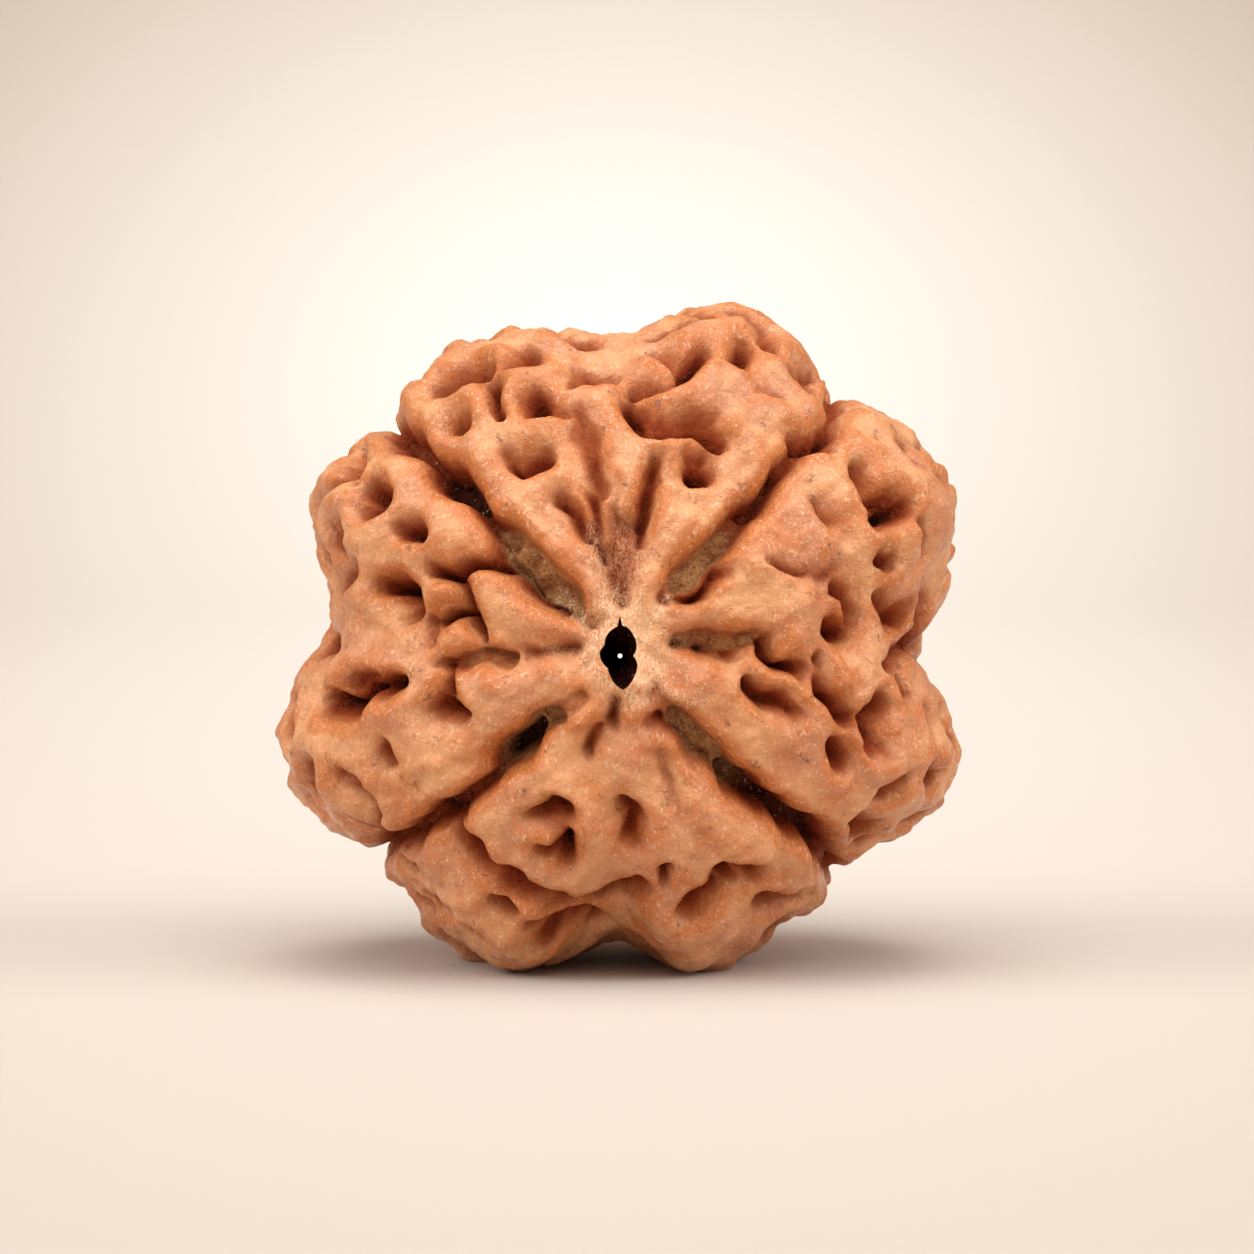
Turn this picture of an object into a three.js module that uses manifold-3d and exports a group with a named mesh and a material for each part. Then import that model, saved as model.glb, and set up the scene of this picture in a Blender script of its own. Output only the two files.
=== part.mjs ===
// A four mukhi rudraksha bead: the woody stone of one fruit, in millimetres, +Z up.
// It is one solid that lies on its side, with its thread bore along Y, and the face with the bore's
// wide mouth looks along -Y. Four clefts, the mukhi lines, run from mouth to mouth, and the
// walls between them are a raised net of rounded ridges around deep pits.
import * as THREE from "three";
import { mergeVertices } from "three/addons/utils/BufferGeometryUtils.js";
import Module from "manifold-3d";

const { degToRad, radToDeg, clamp, lerp, smoothstep } = THREE.MathUtils;

// Driving dimensions of the bead
const HALF_DEPTH = 9.3; // from the middle to either end of the bore
const SHOULDER = 2.4; // 2 makes the profile an ellipse, and more makes the two faces flatter
const LEAN = degToRad(4.5); // how far the bead lies back, so that its face looks up
const REST_HEIGHT = 10.15; // from the bore's axis down to the flat spots that the bead rests on
const GRAIN = 22; // cuts in each edge of the icosahedron that the surface starts from

// The outline seen along the bore: eight lobes and the notches between them, as [degrees, reach]
const OUTLINE = [
  [3, 10.25], [26, 12.35], [50, 11.75], [72, 12.32], [91, 10.7], [113, 11.8],
  [135, 11.2], [151, 11.5], [172, 9.8], [197, 11.74], [224, 10.5], [247, 11.3],
  [269, 9.3], [284, 10.95], [315, 10.3], [340, 11.87],
];

// The thread bore's mouth is a torn, pointed slit, given as [degrees, reach] too
const MOUTH = [
  [0, 0.42], [30, 0.62], [55, 0.78], [75, 0.95], [85, 0.97], [90, 1.3], [95, 0.95], [120, 0.8],
  [145, 0.6], [170, 0.66], [200, 0.6], [225, 0.55], [245, 0.72], [262, 0.95], [275, 1.1],
  [290, 0.95], [305, 0.8], [330, 0.65],
];
const MOUTH_DEPTH = 2.2; // how far in the slit has become the round throat
const THROAT = 0.42;
const BACK_MOUTH = 0.55;
const WINDING = { radius: 0.34, turns: 1.3 }; // the throat winds about its line like a loose screw
const BORE = { sides: 24, rings: 14, overrun: 1.5 };

// Places on the face were read as they look from this far away, where nearer ones look larger
const READING_DISTANCE = 210;

// Each stroke is how deep it cuts, then its stations as [x, z, half width] on the face.
// The four mukhi clefts come first.
const CLEFTS = [
  [0.8, [1.95, 0.55, 0.25], [2.6, 0.5, 0.42], [3.4, 0.5, 0.42], [4.3, 0.6, 0.3]],
  [0.75, [-5.7, -0.2, 0.2], [-5.0, -0.15, 0.3], [-4.4, 0.0, 0.35], [-3.85, -0.12, 0.25]],
  [0.5, [-0.85, 1.2, 0.2], [-1.4, 1.7, 0.35]],
  [1.15, [-1.5, 1.75, 0.35], [-2.5, 2.6, 0.6], [-3.2, 3.25, 0.6], [-3.9, 4.05, 0.4]],
  [1.3, [-3.9, 4.05, 0.35], [-4.4, 4.7, 0.24], [-4.9, 5.2, 0.25]],
  [1.8, [-4.95, 5.35, 0.3], [-5.6, 5.9, 0.36], [-6.2, 6.35, 0.3]],
  [1.3, [-6.2, 6.35, 0.2], [-6.6, 6.85, 0.2], [-7.0, 7.2, 0.3], [-7.6, 7.6, 0.3], [-8.2, 8.1, 0.25]],
  [0.6, [1.5, 1.95, 0.3], [1.9, 2.3, 0.35]],
  [1.15, [2.0, 2.5, 0.35], [2.9, 3.3, 0.42], [3.7, 4.2, 0.36], [4.5, 5.1, 0.3]],
  [1.4, [4.5, 5.1, 0.3], [5.0, 5.65, 0.2], [5.5, 6.3, 0.18]],
  [0.9, [5.5, 6.3, 0.16], [6.1, 6.9, 0.2], [7.1, 7.7, 0.22], [7.4, 8.5, 0.22], [7.6, 9.0, 0.22]],
  [0.5, [1.1, -1.4, 0.3], [1.6, -1.9, 0.4]],
  [1.1, [1.75, -2.05, 0.4], [2.3, -2.6, 0.46], [2.9, -3.15, 0.5], [3.7, -4.0, 0.45]],
  [1.8, [3.7, -4.1, 0.4], [4.4, -4.55, 0.5], [5.2, -5.15, 0.35]],
  [1.7, [5.2, -5.15, 0.3], [5.9, -5.65, 0.35], [6.4, -5.8, 0.38], [6.7, -6.4, 0.28], [7.3, -7.0, 0.25]],
  [0.45, [-1.3, -1.4, 0.25], [-2.0, -1.8, 0.36]],
  [1.1, [-2.1, -1.95, 0.3], [-2.7, -2.35, 0.38]],
  [2.3, [-2.85, -2.5, 0.28], [-3.35, -2.95, 0.4], [-3.85, -3.5, 0.28]],
  [1.2, [-3.9, -3.7, 0.14], [-4.3, -4.2, 0.18], [-4.8, -4.55, 0.16], [-5.2, -4.85, 0.16]],
  [1.5, [-5.3, -5.0, 0.26], [-6.2, -5.45, 0.3]],
  [1.2, [-6.4, -5.6, 0.2], [-7.0, -6.1, 0.24], [-7.6, -6.3, 0.24], [-8.2, -6.5, 0.22]],
];

// Pits and hollows of the top segment
const TOP_PITS = [
  [0.75, [0.0, 1.9, 0.4], [0.0, 2.6, 0.9], [0.05, 3.4, 1.15], [0.1, 4.2, 1.0], [0.1, 4.9, 0.6]],
  [0.95, [-0.6, 3.3, 0.15], [-0.75, 3.8, 0.25], [-0.7, 4.6, 0.3], [-0.85, 5.3, 0.2]],
  [1.0, [0.6, 3.7, 0.15], [0.7, 4.3, 0.25], [0.85, 4.9, 0.25], [1.0, 6.1, 0.1]],
  [0.9, [-2.0, 5.2, 0.2], [-1.5, 4.7, 0.3], [-1.0, 4.0, 0.28]],
  [1.1, [1.15, 6.5, 0.2], [1.1, 5.8, 0.25], [0.9, 5.2, 0.28], [0.65, 4.6, 0.35]],
  [0.7, [-1.5, 8.2, 0.4], [-1.1, 7.5, 0.5], [-0.95, 6.9, 0.5], [-0.85, 6.2, 0.3], [-0.65, 5.4, 0.25]],
  [2.3, [-2.75, 8.3, 0.33], [-2.55, 7.9, 0.33]],
  [0.7, [-2.5, 8.65, 0.35], [-2.0, 8.2, 0.35]],
  [1.2, [-3.7, 6.4, 0.15], [-3.2, 6.3, 0.15]],
  [1.6, [-2.95, 6.35, 0.2], [-2.6, 6.45, 0.25]],
  [0.6, [-3.9, 6.75, 0.35], [-3.1, 6.7, 0.4]],
  [1.45, [-5.5, 7.65, 0.2], [-5.25, 7.72, 0.25]],
  [1.55, [-4.3, 9.1, 0.15], [-4.15, 8.5, 0.18], [-4.05, 7.95, 0.22]],
  [2.3, [-5.8, 8.7, 0.25], [-5.2, 8.85, 0.35], [-4.9, 9.2, 0.28], [-4.3, 9.35, 0.2]],
  [0.9, [-6.0, 9.0, 0.4], [-5.3, 9.6, 0.35]],
  [1.7, [-1.45, 8.9, 0.2], [-1.0, 9.0, 0.2], [-0.55, 8.95, 0.15]],
  [0.6, [-1.5, 9.4, 0.4], [-0.2, 9.4, 0.4]],
  [1.8, [0.2, 8.25, 0.2], [0.6, 7.8, 0.26], [1.0, 7.42, 0.24]],
  [1.55, [1.0, 7.42, 0.24], [1.8, 7.5, 0.24], [2.5, 7.6, 0.25], [3.0, 7.4, 0.26], [3.2, 7.15, 0.15]],
  [0.85, [1.3, 7.9, 0.3], [2.3, 8.1, 0.36], [3.1, 8.0, 0.3]],
  [1.45, [0.5, 8.8, 0.25], [1.2, 8.78, 0.2], [1.9, 9.05, 0.15]],
  [1.8, [2.1, 9.3, 0.2], [2.3, 9.7, 0.33], [2.7, 10.1, 0.3]],
  [1.7, [4.1, 10.2, 0.18], [3.95, 9.6, 0.2]],
  [0.5, [4.6, 8.95, 0.35], [5.3, 8.7, 0.3]],
  [0.7, [1.1, 10.1, 0.4], [1.9, 9.9, 0.3]],
  [1.9, [2.3, 5.98, 0.36], [2.8, 5.92, 0.28]],
  [0.95, [2.4, 6.6, 0.45], [2.85, 6.75, 0.35]],
  [1.7, [5.9, 7.15, 0.25], [6.25, 6.9, 0.25], [6.7, 7.0, 0.25], [7.05, 7.4, 0.2]],
];

// Pits and hollows of the left segment
const LEFT_PITS = [
  [1.5, [-3.9, 3.6, 0.2], [-3.2, 2.6, 0.1], [-2.4, 1.75, 0.1], [-1.9, 1.42, 0.06]],
  [1.7, [-8.2, 5.6, 0.25], [-7.75, 5.3, 0.3]],
  [2.05, [-7.75, 5.0, 0.3], [-8.2, 4.85, 0.36]],
  [1.7, [-7.05, 4.2, 0.2], [-6.8, 4.1, 0.24], [-6.45, 3.95, 0.22]],
  [2.15, [-7.75, 2.3, 0.22], [-7.2, 2.25, 0.3], [-6.95, 2.0, 0.25]],
  [1.1, [-6.95, 1.9, 0.25], [-6.9, 1.4, 0.2]],
  [0.6, [-8.9, 5.9, 0.35], [-8.55, 6.5, 0.25]],
  [0.95, [-8.85, 2.9, 0.35], [-9.1, 2.0, 0.45]],
  [1.55, [-6.2, 2.85, 0.12], [-5.4, 2.75, 0.28], [-4.6, 2.95, 0.33], [-3.8, 3.1, 0.35]],
  [1.1, [-5.45, 2.6, 0.25], [-5.1, 1.9, 0.25], [-4.85, 1.2, 0.18], [-4.75, 0.5, 0.18]],
  [1.2, [-5.9, 1.3, 0.2], [-5.2, 1.55, 0.25]],
  [0.7, [-6.4, 1.4, 0.25], [-6.3, 0.4, 0.22]],
  [0.6, [-3.3, 0.05, 0.25], [-2.4, 0.15, 0.22], [-1.5, 0.3, 0.16]],
  [1.45, [-5.65, -0.5, 0.14], [-5.65, -1.2, 0.15]],
  [2.15, [-9.7, -1.45, 0.22], [-9.1, -1.75, 0.33], [-8.6, -1.5, 0.36]],
  [1.8, [-8.6, -1.35, 0.36], [-8.0, -1.02, 0.3], [-7.2, -0.98, 0.16]],
  [0.85, [-9.0, -0.95, 0.4], [-8.3, -0.6, 0.32]],
  [1.2, [-6.3, -1.4, 0.26], [-5.8, -1.7, 0.36], [-5.25, -1.95, 0.22]],
  [1.3, [-8.05, -3.1, 0.18], [-7.65, -3.5, 0.17]],
  [1.2, [-9.1, -3.85, 0.2], [-8.75, -4.2, 0.2]],
  [0.95, [-8.9, -5.35, 0.26], [-8.3, -5.7, 0.26]],
  [0.7, [-8.6, -4.4, 0.14], [-8.1, -5.0, 0.15], [-8.0, -5.9, 0.18]],
  [0.4, [-9.2, 0.1, 0.3]],
];

// Pits and hollows of the bottom segment, with the step under its front ledge
const BOTTOM_PITS = [
  [1.2, [1.15, -1.95, 0.05], [2.1, -2.85, 0.08], [3.1, -3.75, 0.12]],
  [0.8, [-0.1, -1.3, 0.1], [-0.4, -2.2, 0.2]],
  [0.75, [-0.8, -2.5, 0.16], [-1.0, -3.1, 0.2]],
  [1.9, [-2.05, -4.85, 0.27], [-1.8, -5.0, 0.3]],
  [1.1, [-2.75, -5.2, 0.25], [-2.15, -5.25, 0.3]],
  [2.2, [-1.75, -5.9, 0.2], [-1.72, -6.5, 0.24]],
  [1.0, [-1.75, -5.9, 0.4], [-1.8, -6.5, 0.4]],
  [1.2, [-2.6, -6.5, 0.24], [-2.0, -6.5, 0.28]],
  [1.0, [0.15, -4.95, 0.3], [0.5, -5.3, 0.5], [0.3, -5.8, 0.4]],
  [0.35, [1.8, -4.9, 0.3], [1.4, -3.3, 0.3]],
  [1.45, [-4.75, -6.3, 0.32], [-4.5, -6.8, 0.3]],
  [1.45, [-5.4, -5.6, 0.16], [-5.2, -6.1, 0.2], [-4.6, -6.7, 0.25], [-4.0, -7.2, 0.25],
    [-3.3, -7.75, 0.22], [-2.5, -8.1, 0.2], [-1.7, -8.2, 0.22], [-0.8, -8.1, 0.24], [0.1, -7.7, 0.26],
    [0.6, -7.4, 0.24]],
  [1.45, [1.45, -6.95, 0.16], [1.55, -7.4, 0.15]],
  [1.8, [3.5, -7.2, 0.25], [3.7, -7.5, 0.22]],
  [1.1, [3.9, -7.15, 0.24], [4.6, -7.3, 0.22]],
  [2.05, [2.25, -8.3, 0.22], [2.7, -8.0, 0.25], [3.1, -7.85, 0.18]],
  [1.55, [4.6, -8.05, 0.22], [5.1, -8.1, 0.22]],
  [0.85, [5.3, -8.2, 0.24], [5.9, -8.0, 0.2]],
  [1.55, [-3.95, -8.15, 0.22], [-3.6, -8.45, 0.25]],
  [0.95, [-5.0, -9.05, 0.17], [-4.55, -9.2, 0.2]],
  [1.1, [-6.2, -8.15, 0.2], [-5.75, -8.4, 0.2]],
  [0.7, [-7.4, -6.85, 0.18], [-6.7, -7.2, 0.2]],
  [0.7, [0.4, -9.1, 0.25]],
];

// Pits and hollows of the right segment
const RIGHT_PITS = [
  [1.3, [1.9, 1.95, 0.08], [2.6, 2.2, 0.15], [3.2, 2.65, 0.2]],
  [1.35, [1.8, 0.45, 0.12], [2.6, 0.2, 0.15], [3.6, 0.15, 0.2]],
  [1.55, [4.6, 0.3, 0.3], [5.1, -0.1, 0.32], [5.7, -0.4, 0.2]],
  [1.2, [4.25, -1.05, 0.24], [5.0, -1.5, 0.33], [5.65, -1.9, 0.22]],
  [0.6, [5.0, 3.1, 0.16], [5.8, 2.9, 0.18], [6.6, 2.7, 0.2], [7.4, 2.9, 0.18]],
  [1.8, [6.95, 0.85, 0.22], [7.3, 0.8, 0.25]],
  [0.9, [7.2, 2.4, 0.3], [7.8, 2.0, 0.42], [7.9, 1.2, 0.3]],
  [1.6, [6.3, -0.15, 0.15], [6.5, -0.9, 0.18], [7.0, -1.6, 0.2], [7.5, -2.0, 0.2]],
  [2.3, [7.95, -2.2, 0.27], [8.2, -2.75, 0.3]],
  [1.55, [8.7, -1.65, 0.3], [8.45, -2.2, 0.36]],
  [1.45, [7.05, -2.95, 0.22], [7.3, -3.5, 0.3]],
  [1.3, [8.75, -4.5, 0.2], [9.3, -4.1, 0.25]],
  [0.85, [8.9, -3.1, 0.16]],
  [1.45, [9.3, -0.9, 0.2], [9.5, -1.35, 0.2]],
  [1.1, [8.9, -0.25, 0.25], [9.4, 0.3, 0.25], [10.0, 0.6, 0.25]],
  [0.85, [8.8, -6.2, 0.3]],
  [0.7, [10.35, -1.9, 0.16], [10.5, -2.6, 0.18]],
  [2.05, [8.3, 4.5, 0.3], [8.9, 4.6, 0.28], [9.3, 4.85, 0.25]],
  [1.3, [8.0, 5.2, 0.32], [8.6, 5.2, 0.34], [9.1, 5.1, 0.25]],
  [0.95, [7.85, 6.2, 0.2], [8.1, 5.7, 0.25]],
  [1.7, [8.7, 3.2, 0.2], [8.95, 3.12, 0.23]],
  [0.7, [6.6, 5.0, 0.16], [6.8, 4.6, 0.2], [7.1, 4.5, 0.16]],
  [0.85, [10.0, 4.3, 0.22], [10.3, 3.6, 0.22]],
  [0.7, [10.4, 2.0, 0.18], [10.7, 2.6, 0.18]],
];

// Knobs, tongues and petals that stand up between the pits, as [height, stations]
const KNOBS = [
  [0.4, [-6.5, 1.95, 0.32], [-6.05, 2.15, 0.5]],
  [0.3, [-5.6, 0.75, 0.36], [-5.3, 0.45, 0.36]],
  [0.05, [-1.3, 0.72, 0.2], [-2.3, 1.05, 0.42], [-3.4, 1.5, 0.75], [-4.2, 1.85, 0.7]],
  [0.15, [-5.6, 3.5, 0.42], [-4.9, 3.55, 0.42]],
  [-0.1, [0.6, 6.9, 0.3], [0.35, 6.1, 0.36], [0.2, 5.2, 0.32]],
  [0.1, [1.4, 9.6, 0.3], [1.8, 9.3, 0.2]],
  [0.1, [1.6, 3.6, 0.5], [1.6, 4.6, 0.5], [1.6, 5.6, 0.25]],
  [0.35, [6.5, 1.95, 0.42], [6.5, 1.7, 0.42]],
  [0.4, [6.2, 0.85, 0.45], [5.75, 0.3, 0.48]],
  [0.6, [7.35, -0.35, 0.6], [7.65, -0.85, 0.6]],
  [0.0, [1.7, 1.35, 0.16], [2.9, 1.6, 0.2], [3.9, 1.95, 0.35], [5.2, 2.2, 0.5]],
  [0.05, [1.9, -7.6, 0.3], [1.95, -7.95, 0.22]],
  [0.1, [-6.1, -0.8, 0.3], [-7.0, -1.5, 0.4], [-8.0, -1.9, 0.4]],
  [0.1, [-4.75, 9.0, 0.14], [-4.5, 8.5, 0.16]],
];

// The sides and the back: clefts go on to the back mouth, with pits scattered between them
const SCATTER = { seed: 11, count: 340, spread: 0.06, depth: [0.8, 1.4], half: [0.3, 0.58] };
const FACE_SHARE = -0.72; // nearer the face than this, pits are the ones placed above
const BACK_SHARE = 0.97; // nearer the back mouth than this, there are none
const FOOT_SHARE = -0.9; // lower than this, there are none either, and the bead rests there
const CLEAR = 0.6; // a scattered pit keeps at least this far from every placed cut
const CLEFT_ENDS = [49, 136, 218, 316]; // the bearings at which the clefts leave the face
const SIDE_CLEFT = { depth: 0.8, half: 0.25, sway: 0.05, start: -0.4, end: 0.93, stations: 9 };

// Across a cut: the share of its half width that is floor, how far past it the rim runs out, how
// rounded the wall between them is, and how far the cut leans away from the bore's axis
const PIT_SECTION = { lean: 0.35, floor: 0.3, rim: 0.5, roundness: 2.5 };
const CLEFT_SECTION = { lean: 0, floor: 0.85, rim: 0.4, roundness: 3 };
const JOIN_POWER = 6; // where cuts overlap, the deepest wins, and the more so the higher this is
const KNOB_FOOT = 1.4; // where a knob's foot runs out, as a share of its half width
const SEEN_AT = 0.25; // places on the face were read this share of the way down a cut
const BLUR = 0.26; // each corner takes the mean height of the surface this far round it
const SWELLS = [
  { height: 0.16, wavelength: 4.4, waves: 7, seed: 5 },
  { height: 0.12, wavelength: 1.8, waves: 9, seed: 8 },
];
const WOBBLE = { height: 0.1, wavelength: 1.4, waves: 6, seeds: [21, 22, 23] };

// The same row of numbers between 0 and 1 for the same seed
function randomRow(seed) {
  let state = seed;
  return () => {
    state = (state * 1664525 + 1013904223) % 4294967296;
    return state / 4294967296;
  };
}

// The two stops of a ring of [degrees, reach] that a bearing lies between, and its share of the way
function stopsAround(ring, bearing) {
  const [[firstAt, firstReach]] = ring;
  const [lastAt, lastReach] = ring.at(-1);
  const stops = [[lastAt - 360, lastReach], ...ring, [firstAt + 360, firstReach]];
  const degrees = (radToDeg(bearing) + 360) % 360;
  const next = Math.max(1, stops.findIndex(([at]) => at > degrees));
  const [fromAt, from] = stops[next - 1];
  const [toAt, to] = stops[next];
  return { from, to, share: (degrees - fromAt) / (toAt - fromAt) };
}

// How far the outline reaches at a bearing round the bore, easing from each lobe to the next notch
function reach(bearing) {
  const { from, to, share } = stopsAround(OUTLINE, bearing);
  return lerp(from, to, (1 - Math.cos(Math.PI * share)) / 2);
}

// The point of the smooth shell, without its pits, in a direction from the middle
function shellPoint(direction) {
  const off = Math.hypot(direction.x, direction.z);
  const around = (off / reach(Math.atan2(direction.z, direction.x))) ** SHOULDER;
  const along = (Math.abs(direction.y) / HALF_DEPTH) ** SHOULDER;
  return direction.clone().multiplyScalar((around + along) ** (-1 / SHOULDER));
}

// The point of the shell under which something this far down looks to be at x, z on the face
function facePoint(x, z, sunk) {
  let near = -HALF_DEPTH;
  let far = 0;
  let onShell;
  for (let halving = 0; halving < 20; halving++) {
    const y = (near + far) / 2;
    const nearer = 1 + y / READING_DISTANCE;
    const seen = new THREE.Vector3(x * nearer, y, z * nearer);
    onShell = shellPoint(seen.clone().normalize());
    if (seen.length() > onShell.length() - sunk) near = y;
    else far = y;
  }
  return onShell;
}

// A stroke with the middle and the radius of the ball that holds all it touches
function stroke(depth, stations) {
  const middle = new THREE.Vector3();
  stations.forEach(({ at }) => middle.addScaledVector(at, 1 / stations.length));
  const touched = (half) => (half + PIT_SECTION.rim) / (1 - PIT_SECTION.lean);
  const radii = stations.map(({ at, half }) => at.distanceTo(middle) + touched(half));
  return { depth, stations, middle, radius: Math.max(...radii) };
}

// A stroke of the face, from its places there
function faceStroke([depth, ...places], seenAt) {
  return stroke(depth, places.map(([x, z, half]) => ({ at: facePoint(x, z, seenAt * depth), half })));
}

// A cleft's run over the side and the back, swaying a little about its bearing
function sideCleft(bearing, index) {
  const stations = [];
  for (let i = 0; i < SIDE_CLEFT.stations; i++) {
    const share = i / (SIDE_CLEFT.stations - 1);
    const y = lerp(SIDE_CLEFT.start, SIDE_CLEFT.end, share);
    const sway = SIDE_CLEFT.sway * Math.sin(3 * index + 7 * share) * (1 - share);
    const turn = degToRad(bearing) + sway;
    const off = Math.sqrt(1 - y * y);
    const direction = new THREE.Vector3(off * Math.cos(turn), y, off * Math.sin(turn));
    const half = SIDE_CLEFT.half * (1 + 0.4 * Math.sin(5 * i + index));
    stations.push({ at: shellPoint(direction), half });
  }
  return stroke(SIDE_CLEFT.depth, stations);
}

// Whether a row of places keeps clear of every station of a stroke
function keepsClear(places, { stations }) {
  return stations.every(({ at, half }) => places.every((place) => place.distanceTo(at) - half > CLEAR));
}

// Pits spread evenly over the side and the back, each shaken out of its place, slanted and bent
function scatteredPits(taken) {
  const random = randomRow(SCATTER.seed);
  const between = ([low, high]) => low + (high - low) * random();
  const shake = () => {
    const [x, y, z] = [random(), random(), random()].map((value) => SCATTER.spread * (2 * value - 1));
    return new THREE.Vector3(x, y, z);
  };
  const pits = [];
  for (let i = 0; i < SCATTER.count; i++) {
    const y = 1 - (2 * i + 1) / SCATTER.count;
    const turn = i * Math.PI * (3 - Math.sqrt(5));
    const off = Math.sqrt(1 - y * y);
    const middle = new THREE.Vector3(off * Math.cos(turn), y, off * Math.sin(turn));
    middle.add(shake()).normalize();
    const slant = shake().multiply(new THREE.Vector3(1, 1.6, 1));
    const bent = middle.clone().add(shake());
    const depth = between(SCATTER.depth);
    const half = between(SCATTER.half);
    if (middle.y < FACE_SHARE || middle.y > BACK_SHARE || middle.z < FOOT_SHARE) continue;
    const ways = [middle.clone().sub(slant), bent, middle.clone().add(slant)];
    const places = ways.map((way) => shellPoint(way.normalize()));
    if (!taken.every((cut) => keepsClear(places, cut))) continue;
    pits.push(stroke(depth, places.map((at) => ({ at, half }))));
  }
  return pits;
}

// The section across a cut: a level floor, and a wall that is steep at its foot and round at its rim
function cutSection(away, half, { floor, rim, roundness }) {
  const t = clamp((away - floor * half) / ((1 - floor) * half + rim), 0, 1);
  return (1 - t) ** roundness;
}

// The section across a knob: level on top, easing out to nothing at its foot
const knobSection = (away, half) => 1 - smoothstep(away, 0, KNOB_FOOT * half);

// How much of a stroke's depth or height there is at a point, from 0 to 1
function shareOf({ stations, middle, radius }, point, section, shape = { lean: 0 }) {
  let most = 0;
  if (point.distanceTo(middle) > radius) return most;
  const offAxis = new THREE.Vector3(point.x, 0, point.z).normalize();
  for (let i = 0; i < Math.max(1, stations.length - 1); i++) {
    const a = stations[i];
    const b = stations[Math.min(i + 1, stations.length - 1)];
    const run = b.at.clone().sub(a.at);
    const t = clamp(point.clone().sub(a.at).dot(run) / (run.lengthSq() || 1), 0, 1);
    const offset = point.clone().sub(a.at).addScaledVector(run, -t);
    const away = offset.length() - shape.lean * offset.dot(offAxis);
    most = Math.max(most, section(away, lerp(a.half, b.half, t), shape));
  }
  return most;
}

// Slow swells of the whole surface, as a few crossing waves
function swells({ height, wavelength, waves, seed }) {
  const random = randomRow(seed);
  const ways = Array.from({ length: waves }, () => {
    const way = new THREE.Vector3(random() - 0.5, random() - 0.5, random() - 0.5).normalize();
    return { way: way.multiplyScalar((2 * Math.PI) / wavelength), phase: 2 * Math.PI * random() };
  });
  const scale = height / Math.sqrt(waves);
  return (point) => scale * ways.reduce((sum, { way, phase }) => sum + Math.sin(way.dot(point) + phase), 0);
}

const clefts = [...CLEFTS.map((row) => faceStroke(row, SEEN_AT)), ...CLEFT_ENDS.map(sideCleft)];
const facePits = [...TOP_PITS, ...LEFT_PITS, ...BOTTOM_PITS, ...RIGHT_PITS];
const placedPits = facePits.map((row) => faceStroke(row, SEEN_AT));
const knobs = KNOBS.map((row) => faceStroke(row, -1));
const pits = [...placedPits, ...scatteredPits([...clefts, ...placedPits, ...knobs])];
const surfaceSwells = SWELLS.map(swells);
const wobbles = WOBBLE.seeds.map((seed) => swells({ ...WOBBLE, seed }));

// The depths that a set of cuts has at a point, each raised to the power that lets the deepest win
function raisedDepth(cuts, point, shape) {
  const raised = (cut) => (cut.depth * shareOf(cut, point, cutSection, shape)) ** JOIN_POWER;
  return cuts.reduce((sum, cut) => sum + raised(cut), 0);
}

// How far the real surface stands above the smooth shell at a point of it, less than 0 in a pit
function relief(point) {
  const swell = surfaceSwells.reduce((sum, wave) => sum + wave(point), 0);
  const shaken = point.clone().add(new THREE.Vector3(...wobbles.map((wobble) => wobble(point))));
  const raised = raisedDepth(clefts, shaken, CLEFT_SECTION) + raisedDepth(pits, shaken, PIT_SECTION);
  let height = swell - raised ** (1 / JOIN_POWER);
  for (const knob of knobs) {
    height = lerp(height, knob.depth, shareOf(knob, shaken, knobSection));
  }
  return height;
}

// The relief at a point and at six places round it, as one mean height
function evenRelief(point, direction) {
  const across = new THREE.Vector3(0, 0, 1).cross(direction).normalize().multiplyScalar(BLUR);
  let sum = relief(point);
  for (let i = 0; i < 6; i++) {
    sum += relief(point.clone().add(across));
    across.applyAxisAngle(direction, Math.PI / 3);
  }
  return sum / 7;
}

// The bead without its bore: an even ball of small faces, each corner moved out to the real surface
function stoneGeometry() {
  const ball = new THREE.IcosahedronGeometry(1, GRAIN);
  ball.deleteAttribute("normal");
  ball.deleteAttribute("uv");
  const stone = mergeVertices(ball, 1e-4);
  const corners = stone.getAttribute("position");
  const corner = new THREE.Vector3();
  for (let i = 0; i < corners.count; i++) {
    const direction = corner.fromBufferAttribute(corners, i).normalize();
    const shell = shellPoint(direction);
    const out = shell.clone().addScaledVector(direction, evenRelief(shell, direction));
    corners.setXYZ(i, out.x, out.y, out.z);
  }
  return stone;
}

// The bore's cutter: a tube along Y that eases from the torn slit to the winding throat
function boreGeometry() {
  const bore = new THREE.CylinderGeometry(1, 1, 2 * (HALF_DEPTH + BORE.overrun), BORE.sides, BORE.rings);
  const corners = bore.getAttribute("position");
  for (let i = 0; i < corners.count; i++) {
    const y = corners.getY(i);
    const { from, to, share } = stopsAround(MOUTH, Math.atan2(corners.getZ(i), corners.getX(i)));
    const inward = smoothstep(y, -HALF_DEPTH + 0.5, -HALF_DEPTH + MOUTH_DEPTH);
    const outward = smoothstep(y, HALF_DEPTH - 3, HALF_DEPTH);
    const size = lerp(lerp(from, to, share), lerp(THROAT, BACK_MOUTH, outward), inward);
    const turn = (Math.PI * WINDING.turns * y) / HALF_DEPTH;
    const stray = WINDING.radius * inward * (1 - outward);
    corners.setX(i, corners.getX(i) * size + stray * Math.cos(turn));
    corners.setZ(i, corners.getZ(i) * size + stray * Math.sin(turn));
  }
  return bore;
}

// What lies above the surface that the bead rests on
function aboveRest() {
  const size = 40;
  return new THREE.BoxGeometry(size, size, size).translate(0, 0, size / 2 - REST_HEIGHT);
}

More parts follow.
